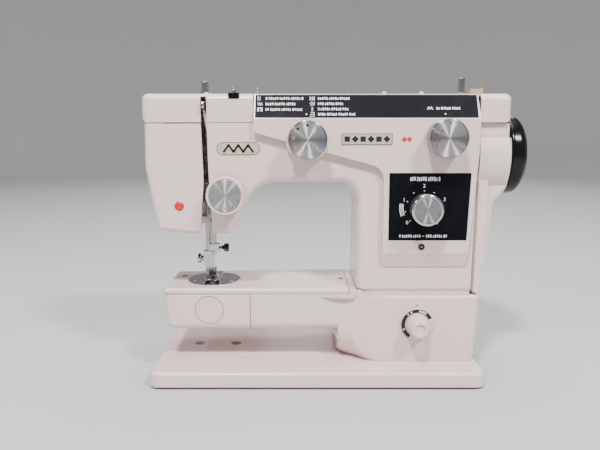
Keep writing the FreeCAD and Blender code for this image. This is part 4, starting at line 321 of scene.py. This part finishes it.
def front_of(node, x, z):
    """Where a line towards the rear at x, z in millimetres first meets the node, and the normal there."""
    clear_of_front = 0.05
    start = Vector((x * MM, CAD_BOX[0][1] - clear_of_front, z * MM))
    hit, place, normal, _ = node.ray_cast(start, Vector((0, 1, 0)))
    if not hit:
        raise ValueError(f"no surface of {node.name} at {x}, {z}")
    return place, normal


def add_piece(name, mesh, body, material):
    piece = bpy.data.objects.new(name, mesh)
    bpy.context.scene.collection.objects.link(piece)
    mesh.materials.clear()
    mesh.materials.append(material)
    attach(piece, body)
    return piece


def circle(radius, steps):
    """Offsets of the points round a circle, as pairs."""
    angles = [2 * math.pi * i / steps for i in range(steps)]
    return [(radius * math.cos(a), radius * math.sin(a)) for a in angles]


def skin(made, rings):
    """Faces between neighbouring rings of vertices. A ring of one vertex is a tip."""
    for a, b in zip(rings, rings[1:]):
        steps = max(len(a), len(b))
        for i in range(steps):
            j = (i + 1) % steps
            corners = [a[i % len(a)], a[j % len(a)], b[j % len(b)], b[i % len(b)]]
            made.faces.new(list(dict.fromkeys(corners)))


def to_mesh(made, name, smooth=False):
    """Turns a bmesh into a mesh and frees it. Without smooth, the faces keep the shading they have."""
    mesh = bpy.data.meshes.new(name)
    made.to_mesh(mesh)
    made.free()
    if smooth:
        for polygon in mesh.polygons:
            polygon.use_smooth = True
    return mesh


def turned(name, profile, centre, steps=128):
    """Surface of revolution about the Y line through centre, from (y, radius) points in metres."""
    made = bmesh.new()
    rings = []
    for y, radius in profile:
        offsets = circle(radius, steps) if radius else [(0.0, 0.0)]
        rings.append([made.verts.new((centre.x + u, y, centre.z + v)) for u, v in offsets])
    skin(made, rings)
    bmesh.ops.recalc_face_normals(made, faces=made.faces)
    return to_mesh(made, name, smooth=True)


class Print:
    """Thin raised marks on the front of one object. Shapes are drawn in millimetres round an anchor.

    The marks reach from sink below the surface to lift above it."""

    def __init__(self, surface, lift=0.07):
        self.surface = surface
        self.sink = 0.03
        self.lift = lift
        self.mesh = bmesh.new()
        self.frame = None

    def at(self, x, z):
        """Puts the anchor on the object's front surface at x, z in millimetres."""
        place, normal = front_of(self.surface, x, z)
        right = Vector((1, 0, 0))
        right = (right - normal * right.dot(normal)).normalized()
        up = normal.cross(right)
        self.frame = Matrix((right, up, normal)).transposed().to_4x4()
        self.frame.translation = place
        return self

    def outline(self, points):
        rings = []
        for height in (-self.sink, self.lift):
            rings.append([self.mesh.verts.new(self.frame @ Vector((u * MM, v * MM, height * MM)))
                          for u, v in points])
        low, high = rings
        self.mesh.faces.new(high)
        self.mesh.faces.new(low[::-1])
        skin(self.mesh, rings)

    def bar(self, u0, u1, v0, v1):
        self.outline([(u0, v0), (u1, v0), (u1, v1), (u0, v1)])

    def polygon(self, u, v, radius, sides):
        self.outline([(u + p, v + q) for p, q in circle(radius, sides)])

    def stroke(self, points, width):
        """A line through the points. Each bar runs past its ends by overrun half widths, to fill corners."""
        overrun = 0.6
        for (u0, v0), (u1, v1) in zip(points, points[1:]):
            along = Vector((u1 - u0, v1 - v0)).normalized() * (width / 2)
            side = Vector((-along.y, along.x))
            a = Vector((u0, v0)) - along * overrun
            b = Vector((u1, v1)) + along * overrun
            self.outline([tuple(p) for p in (a - side, b - side, b + side, a + side)])

    def arc(self, u, v, inner, outer, start, end, steps):
        """Band between two radii, from start to end in degrees."""
        angles = [math.radians(start + (end - start) * i / steps) for i in range(steps + 1)]
        for a, b in zip(angles, angles[1:]):
            self.outline([(u + r * math.cos(t), v + r * math.sin(t))
                          for r, t in ((inner, a), (outer, a), (outer, b), (inner, b))])

    def digit(self, text, size, u=0.0, v=0.0, turn=0.0):
        curve = bpy.data.curves.new("digit", "FONT")
        curve.body = text
        curve.size = size
        curve.align_x, curve.align_y = "CENTER", "CENTER"
        curve.extrude = (self.sink + self.lift) / 2
        curve.resolution_u = 4
        letter = bpy.data.objects.new("digit", curve)
        made = bpy.data.meshes.new_from_object(letter)
        spin = Matrix.Rotation(turn, 4, "Z")
        shift = Matrix.Translation((u, v, (self.lift - self.sink) / 2))
        made.transform(self.frame @ Matrix.Scale(MM, 4) @ shift @ spin)
        self.mesh.from_mesh(made)
        bpy.data.meshes.remove(made)
        bpy.data.curves.remove(curve)

    def digit_on_dial(self, text, size, radius, angle, drop=0.0):
        """A digit at an angle round the anchor, its foot towards the axis. drop moves it down."""
        u, v = radius * math.cos(angle), radius * math.sin(angle) - drop
        self.digit(text, size, u, v, angle - math.pi / 2)

    def done(self, name, body, ink):
        bmesh.ops.remove_doubles(self.mesh, verts=self.mesh.verts, dist=1e-7)
        bmesh.ops.recalc_face_normals(self.mesh, faces=self.mesh.faces)
        return add_piece(name, to_mesh(self.mesh, name), body, INK[ink])


# ---- printed strip along the top of the panel ------------------------------------------------------
def block_row(marks, length, height, first):
    """A row of small blocks in place of a word. The pattern of widths, notches and gaps starts at first."""
    widths = (1.5, 1.1, 1.7, 1.3, 1.0, 1.6, 1.2)
    notch, gap, word_gap, least = 0.45, 0.75, 1.5, 0.4
    u, k = 0.0, first
    while u < length:
        wide = min(widths[k % len(widths)], length - u)
        if wide > least:
            low = -height / 2 + (notch if k % 4 == 1 else 0.0)
            high = height / 2 - (notch if k % 4 == 3 else 0.0)
            marks.bar(u, u + wide, low, high)
        u += wide + (gap if k % 5 else word_gap)
        k += 1


def stitch_icon(marks, kind):
    """Small drawings of stitches: straight, zigzag, buttonhole, overlock, feather, elastic, blind."""
    h = 2.2
    if kind == "straight":
        for k in range(3):
            marks.bar(-0.35, 0.35, -h + k * 1.6, -h + k * 1.6 + 1.0)
        marks.stroke([(-2.4, -h), (-2.4, h), (-1.4, h), (-1.4, -h)], 0.4)
    elif kind == "zigzag":
        marks.stroke([(-2.4 + k * 0.95, -h * 0.8 if k % 2 else h * 0.8) for k in range(6)], 0.5)
    elif kind == "buttonhole":
        marks.bar(-2.7, -0.9, -h, h)
        marks.bar(0.9, 2.7, -h, h)
        marks.bar(-0.9, 0.9, h - 1.0, h)
    elif kind == "overlock":
        marks.stroke([(-2.4, -h), (-2.4, h), (0.0, -h), (0.0, h), (2.2, -h), (2.2, h)], 0.55)
    elif kind == "feather":
        marks.stroke([(-2.4, 0.2), (-0.8, h), (0.2, -0.4), (1.4, h), (2.6, 0.2)], 0.5)
        marks.stroke([(-2.0, -h), (-0.6, -0.6), (0.8, -h), (2.2, -0.6)], 0.5)
    elif kind == "elastic":
        marks.stroke([(-0.9, h), (0.7, h * 0.5), (-0.9, 0.0), (0.7, -h * 0.5), (-0.9, -h)], 0.5)
    elif kind == "blind":
        marks.stroke([(-2.4, -h), (1.8, -h), (1.8, h), (-1.4, h)], 0.6)
        marks.stroke([(-2.0, 0.0), (0.8, 0.0)], 0.6)


# drawing, its x, the x of its row of blocks, the row's length, and the z of both
STRIP_ROWS = (
    ("straight", -78.0, -72.3, 38.5, 296.6),
    ("zigzag", -78.0, -72.3, 30.6, 291.0),
    ("buttonhole", -78.0, -72.3, 36.8, 285.4),
    ("overlock", -25.0, -19.3, 32.0, 296.6),
    ("feather", -25.0, -19.3, 25.3, 291.2),
    ("elastic", -25.0, -19.3, 30.6, 285.9),
    ("blind", -25.0, -19.3, 38.2, 280.6),
    (None, None, 100.2, 25.1, 286.6),
)
STRIP_ZIGZAG = (93.9, 286.8)
DIAL_INDEX_DOTS = ((-31.0, 280.6), (109.1, 281.0))


def strip_marks():
    """Stitch drawings, rows of blocks and the index dots over the two large dials."""
    marks = Print(NODES["printed_plates"])
    for k, (kind, icon_x, row_x, length, z) in enumerate(STRIP_ROWS):
        if kind:
            marks.at(icon_x, z)
            stitch_icon(marks, kind)
        marks.at(row_x, z)
        block_row(marks, length, 2.9, 2 * k)
    marks.at(*STRIP_ZIGZAG).stroke([(-2.6, -1.4), (-1.3, 1.4), (0.0, -1.4), (1.3, 1.4), (2.6, -1.4)], 0.8)
    for x, z in DIAL_INDEX_DOTS:
        marks.at(x, z).polygon(0, 0, 0.85, 12)
    marks.done("strip_marks", "body", "white")


# ---- stitch length plate -------------------------------------------------------------------------
# where the rows of blocks over and under the knob start
UPPER_ROW, LOWER_LEFT_ROW, LOWER_RIGHT_ROW = (75.2, 215.6), (65.4, 156.2), (93.4, 156.2)
LENGTH_DIGITS = ((73.2, 170.3, "0"), (69.6, 193.9, "1"), (89.8, 208.4, "2"), (111.0, 194.4, "3"))
LENGTH_DOTS = ((76.3, 172.3), (73.0, 192.4), (79.3, 201.3), (90.0, 203.6), (100.3, 201.6), (106.7, 193.2),
               (104.8, 169.4), (71.2, 181.9))
# the banded mark left of the knob: its anchor, and the angles it spans round the knob
BAND_X, BAND_Z = 64.9, 183.6
BAND_START, BAND_END, BAND_PITCH, BAND_TOOTH = 171, 203, 3, 1.3


def length_plate_marks():
    """Rows of blocks, a dash between the lower two, the scale's digits and dots, and its banded mark."""
    marks = Print(NODES["printed_plates"])
    marks.at(*UPPER_ROW)
    block_row(marks, 30.6, 4.2, 3)
    marks.at(*LOWER_LEFT_ROW)
    block_row(marks, 22.0, 3.0, 5)
    # the dash is drawn from the left row's anchor
    marks.bar(23.6, 26.0, -0.3, 0.3)
    marks.at(*LOWER_RIGHT_ROW)
    block_row(marks, 21.4, 3.0, 8)
    for x, z, text in LENGTH_DIGITS:
        marks.at(x, z).digit(text, 5.4)
    for x, z in LENGTH_DOTS:
        marks.at(x, z).polygon(0, 0, 0.62, 10)
    knob = middle("stitch_length_knob") / MM
    marks.at(BAND_X, BAND_Z)
    u, v = knob.x - BAND_X, knob.z - BAND_Z
    for inner, outer in ((20.2, 20.8), (23.8, 24.4)):
        marks.arc(u, v, inner, outer, BAND_START, BAND_END, 10)
    for start in range(BAND_START, BAND_END, BAND_PITCH):
        marks.arc(u, v, 20.8, 23.8, start, start + BAND_TOOTH, 1)
    marks.done("length_plate_marks", "body", "white")


# ---- dials ---------------------------------------------------------------------------------------
# drawings on the pattern dial, each a list of outlines
DIAL_DRAWINGS = (
    [[(p, -1.6), (p + 0.7, -1.6), (p + 0.7, 1.6), (p, 1.6)] for p in (-1.8, -0.4, 1.0)],
    [[(-1.9, -1.4), (1.9, -1.4), (0.0, 1.7)]],
    [[(-1.7, 0.0), (0.0, -1.7), (1.7, 0.0), (0.0, 1.7)]],
    [[(-1.8, 0.1), (-0.1, 0.1), (-0.1, 1.6), (-1.8, 1.6)],
     [(0.1, -1.6), (1.8, -1.6), (1.8, -0.1), (0.1, -0.1)]],
    [[(-1.9, -1.5), (-0.6, -1.5), (0.4, 1.5), (-0.9, 1.5)],
     [(0.5, -1.5), (1.8, -1.5), (2.4, 1.5), (1.1, 1.5)]],
)
# ink, first drawing and the angles of each group on the pattern dial
PATTERN_GROUPS = (("blue", 4, (332.0, 292.0, 12.0)), ("black", 5, (52.0, 92.0, 132.0)),
                  ("orange", 6, (172.0, 212.0, 252.0)))


def dial_drawing(marks, radius, angle, kind):
    """A drawing on a dial's face, its foot towards the axis."""
    a = math.radians(angle)
    u, v = radius * math.cos(a), radius * math.sin(a)
    turn = a - math.pi / 2
    cos, sin = math.cos(turn), math.sin(turn)
    for shape in DIAL_DRAWINGS[kind % len(DIAL_DRAWINGS)]:
        marks.outline([(u + p * cos - q * sin, v + p * sin + q * cos) for p, q in shape])


def pattern_dial_marks():
    centre = middle("pattern_dial") / MM
    for ink, first, angles in PATTERN_GROUPS:
        marks = Print(NODES["pattern_dial"])
        marks.at(centre.x, centre.z)
        for k, angle in enumerate(angles):
            dial_drawing(marks, 14.6, angle, first + k)
        marks.done(f"pattern_dial_{ink}_marks", "pattern_dial", ink)


def width_dial_marks():
    centre = middle("stitch_width_dial") / MM
    marks = Print(NODES["stitch_width_dial"])
    marks.at(centre.x, centre.z)
    first_angle, pitch = 122.0, 22.0
    for k in range(5):
        marks.digit_on_dial(str(k), 4.0, 14.1, math.radians(first_angle + pitch * k))
    marks.done("width_dial_numbers", "stitch_width_dial", "black")
    marks = Print(NODES["stitch_width_dial"])
    marks.at(centre.x, centre.z).arc(0, 0, 10.0, 10.7, 120.0, 205.0, 24)
    marks.polygon(0.0, 15.0, 1.1, 12)
    marks.done("width_dial_scale", "stitch_width_dial", "maroon")


# profile of the tension dial's disc: distance behind the dial's front and radius
TENSION_EDGE = ((1.2, 0.0), (1.2, 15.9), (-0.30, 16.1), (-0.55, 15.8), (-0.55, 15.2))


def tension_dial_face():
    """Spun disc with fine grooves, set in the cream dial, and its numbers."""
    centre, front, _ = dial_shape("tension_dial")
    profile = [(front + back * MM, radius * MM) for back, radius in TENSION_EDGE]
    for k in range(24):
        groove = 0.48 if k % 2 else 0.50
        profile.append((front - groove * MM, (15.0 - 0.6 * k) * MM))
    profile.append((front - 0.50 * MM, 0.0))
    mesh = turned("tension_dial_face", profile, centre)
    face = add_piece("tension_dial_face", mesh, "tension_dial", TENSION_LOOK)
    # the anchor is off the axis, where the disc has no tip
    marks = Print(face)
    off_axis = 1.0
    marks.at(centre.x / MM, centre.z / MM + off_axis)
    digits, bottom = 10, 5
    for k in range(digits):
        angle = math.radians(90.0 - 360.0 / digits * (k - bottom))
        marks.digit_on_dial(str(k), 3.2, 12.9, angle, off_axis)
    marks.done("tension_dial_numbers", "tension_dial", "black")


# profiles of the rings: distance behind the dial's front, and how far outside its radius
KNOB_RING = ((2.0, -1.0), (1.9, 0.12), (0.7, 0.12), (-0.05, -1.2), (-0.12, -2.3), (0.2, -3.0), (1.0, -3.1),
             (2.0, -1.0))
DIAL_RIM = ((1.6, -0.3), (1.5, 0.10), (0.9, 0.10), (0.05, -0.75), (0.02, -1.1), (0.6, -1.2), (1.6, -0.3))


def dial_ring(name, node, profile, material):
    """A turned ring round a dial's face."""
    centre, front, outer = dial_shape(node)
    points = [(front + back * MM, outer + out * MM) for back, out in profile]
    add_piece(name, turned(name, points, centre), node, material)


# The drop-feed dial is printed round its knob, so its marks are anchored this far left of the axis.
PRINT_RADIUS = 15.4


def drop_dial_marks():
    """Black band and white marks on the drop-feed dial, and the black dot on the housing over it."""
    centre = middle("drop_feed_dial") / MM
    marks = Print(NODES["drop_feed_dial"])
    marks.at(centre.x - PRINT_RADIUS, centre.z)
    marks.arc(PRINT_RADIUS, 0, 13.1, 17.0, 25.0, 238.0, 60)
    marks.done("drop_dial_band", "drop_feed_dial", "black")
    marks = Print(NODES["drop_feed_dial"], lift=0.11)
    marks.at(centre.x - PRINT_RADIUS, centre.z)
    marks.arc(PRINT_RADIUS, 0, 14.0, 15.8, 52.0, 84.0, 8)
    for start in (112.0, 128.0, 196.0):
        marks.arc(PRINT_RADIUS, 0, 14.2, 15.9, start, start + 7.0, 3)
    marks.done("drop_dial_marks", "drop_feed_dial", "white")
    marks = Print(NODES["lower_housing"])
    marks.at(centre.x, centre.z + 20.6).polygon(0, 0, 0.9, 14)
    marks.done("drop_dial_index", "body", "black")


# ---- screw heads ---------------------------------------------------------------------------------
PANEL_SCREW_X, PANEL_SCREW_Z = 88.8, 145.0
# The panel's surface is measured this far left of the screw's axis, just outside its head.
BESIDE_HEAD = 3.62
# distance in front of the head's rear, and radius
PANEL_CAP = ((0.0, 3.3), (1.4, 3.3), (1.8, 2.7), (1.9, 1.2), (1.3, 1.0), (1.3, 0.0))
BED_SCREWS = (("left", -170.9, 6.3), ("right", 8.9, -5.3))
# radius, and height over the bed plate's top
BED_CAP = ((3.15, -0.5), (3.05, 0.04), (2.5, 0.06))


def panel_screw_cap():
    """Dark screw head with a round hollow, in the panel's lower recess; its dark colour is painted shade of
    the sunk screw.
    """
    surface, _ = front_of(NODES["front_panel"], PANEL_SCREW_X - BESIDE_HEAD, PANEL_SCREW_Z)
    rear = surface.y + 1.1 * MM
    centre = Vector((PANEL_SCREW_X * MM, 0.0, PANEL_SCREW_Z * MM))
    profile = [(rear - ahead * MM, radius * MM) for ahead, radius in PANEL_CAP]
    mesh = turned("panel_screw_cap", profile, centre, 48)
    add_piece("panel_screw_cap", mesh, "body", SCREW_SHADE_DARK)


def bed_screw_caps():
    """Dark heads in the bed plate's two countersinks; their dark colour is painted shade of the sunk screws.
    """
    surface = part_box("bed_plate")[1][2]
    for side, x, y in BED_SCREWS:
        made = bmesh.new()
        rings = []
        for radius, height in BED_CAP:
            rings.append([made.verts.new((x * MM + u, y * MM + v, surface + height * MM))
                          for u, v in circle(radius * MM, 40)])
        made.faces.new(rings[0][::-1])
        made.faces.new(rings[-1])
        skin(made, rings)
        name = f"bed_screw_cap_{side}"
        add_piece(name, to_mesh(made, name), "body", SCREW_SHADE_DARK)


# ---- badges --------------------------------------------------------------------------------------
NAME_PLATE = (30.2, 255.9)
OVAL_BADGE = (-100.5, 246.3)
RED_MARKS_X, RED_MARKS_Z = (67.9, 73.0), 255.6


def badge_marks():
    """Plain border lines and geometric marks on the oval badge and the oblong plate."""
    plate = Print(NODES["badges"])
    plate.at(*NAME_PLATE)
    half_w, half_h, line = 25.6, 5.5, 0.55
    for v in (-half_h, half_h - line):
        plate.bar(-half_w, half_w, v, v + line)
    for u in (-half_w, half_w - line):
        plate.bar(u, u + line, -half_h, half_h)
    for k in range(6):
        u = -20.0 + 8.0 * k
        if k % 2:
            plate.polygon(u, 0.0, 3.7, 4)
        else:
            plate.bar(u - 2.8, u + 2.8, -2.7, 2.7)
    plate.done("name_plate_marks", "body", "black")
    oval = Print(NODES["badges"])
    oval.at(*OVAL_BADGE)
    peaks = [(-15.0 + 5.0 * k, 3.4 if k % 2 else -3.4) for k in range(7)]
    oval.stroke(peaks, 2.3)
    oval.done("oval_badge_marks", "body", "black")
    rim = Print(NODES["badges"])
    rim.at(*OVAL_BADGE)
    r, straight, line = 6.35, 15.9, 0.5
    rim.arc(-straight, 0, r - line, r, 90.0, 270.0, 20)
    rim.arc(straight, 0, r - line, r, -90.0, 90.0, 20)
    for v in (-r, r - line):
        rim.bar(-straight, straight, v, v + line)
    rim.done("oval_badge_rim", "body", "brown")
    red = Print(NODES["front_panel"])
    for x in RED_MARKS_X:
        red.at(x, RED_MARKS_Z).polygon(0.0, 0.0, 3.1, 4)
    red.done("panel_red_marks", "body", "red")


strip_marks()
length_plate_marks()
pattern_dial_marks()
width_dial_marks()
tension_dial_face()
dial_ring("length_knob_ring", "stitch_length_knob", KNOB_RING, LOOKS["chrome_steel"])
drop_dial_marks()
for dial in ("pattern_dial", "stitch_width_dial"):
    dial_ring(f"{dial}_rim", dial, DIAL_RIM, LOOKS["dark_plastic"])
panel_screw_cap()
bed_screw_caps()
badge_marks()


# ---- floor, light and camera ---------------------------------------------------------------------
def studio_floor():
    """Pale disc that curves up into a low wall all round."""
    look = Look("studio_floor", Roughness=0.85, Specular_IOR_Level=0.2)
    look.tie("Base Color", look.mix(look.noise(3.0), rgb(0.50, 0.50, 0.495), rgb(0.52, 0.515, 0.51)))
    flat, bend, height, steps, bend_steps = 3.0, 1.0, 1.4, 96, 10
    profile = [(radius, 0.0) for radius in (0.5, 1.5, flat)]
    for k in range(1, bend_steps + 1):
        a = math.radians(90.0 * k / bend_steps)
        profile.append((flat + bend * math.sin(a), bend * (1 - math.cos(a))))
    profile.append((flat + bend, height))
    made = bmesh.new()
    rings = [[made.verts.new((u, v, z)) for u, v in circle(radius, steps)] for radius, z in profile]
    made.faces.new(rings[0])
    # from the outside in, so that the faces look up and inwards
    skin(made, rings[::-1])
    mesh = to_mesh(made, "studio_floor", smooth=True)
    mesh.materials.append(look.material)
    floor = bpy.data.objects.new("studio_floor", mesh)
    bpy.context.scene.collection.objects.link(floor)


def soft_light(name, direction, distance, size, power):
    """Square area light that shines on the machine's middle from one direction."""
    data = bpy.data.lights.new(name, "AREA")
    data.shape, data.size, data.energy = "SQUARE", size, power
    lamp = bpy.data.objects.new(name, data)
    aim = Vector((0.0, 0.0, 0.18))
    towards = Vector(direction).normalized()
    lamp.location = aim + towards * distance
    lamp.rotation_euler = towards.to_track_quat("Z", "Y").to_euler()
    bpy.context.scene.collection.objects.link(lamp)


def studio():
    """A dim even world, five soft lights, and the camera at the photograph's place."""
    world = bpy.data.worlds.new("studio")
    bpy.context.scene.world = world
    world.use_nodes = True
    background = world.node_tree.nodes["Background"]
    background.inputs["Color"].default_value = rgb(0.97, 0.97, 1.0)
    background.inputs["Strength"].default_value = 0.17
    soft_light("key_right", (0.46, -0.56, 0.75), 2.3, 0.30, 50.0)
    soft_light("key_left", (-0.15, -0.54, 0.82), 2.3, 0.22, 60.0)
    soft_light("left_spark", (-0.78, -0.62, 0.66), 2.3, 0.14, 13.0)
    soft_light("overhead", (0.02, 0.22, 1.0), 2.4, 1.8, 52.0)
    soft_light("back_fill", (0.2, 1.0, 0.6), 2.8, 1.6, 14.0)
    camera = bpy.data.objects.new("camera", bpy.data.cameras.new("camera"))
    camera.data.sensor_width = 36.0
    camera.data.lens = 34.8
    camera.location = (-0.0375, -0.648, 0.263)
    camera.rotation_euler = (math.radians(80.89), 0.0, 0.0)
    bpy.context.scene.collection.objects.link(camera)
    bpy.context.scene.camera = camera


studio_floor()
studio()
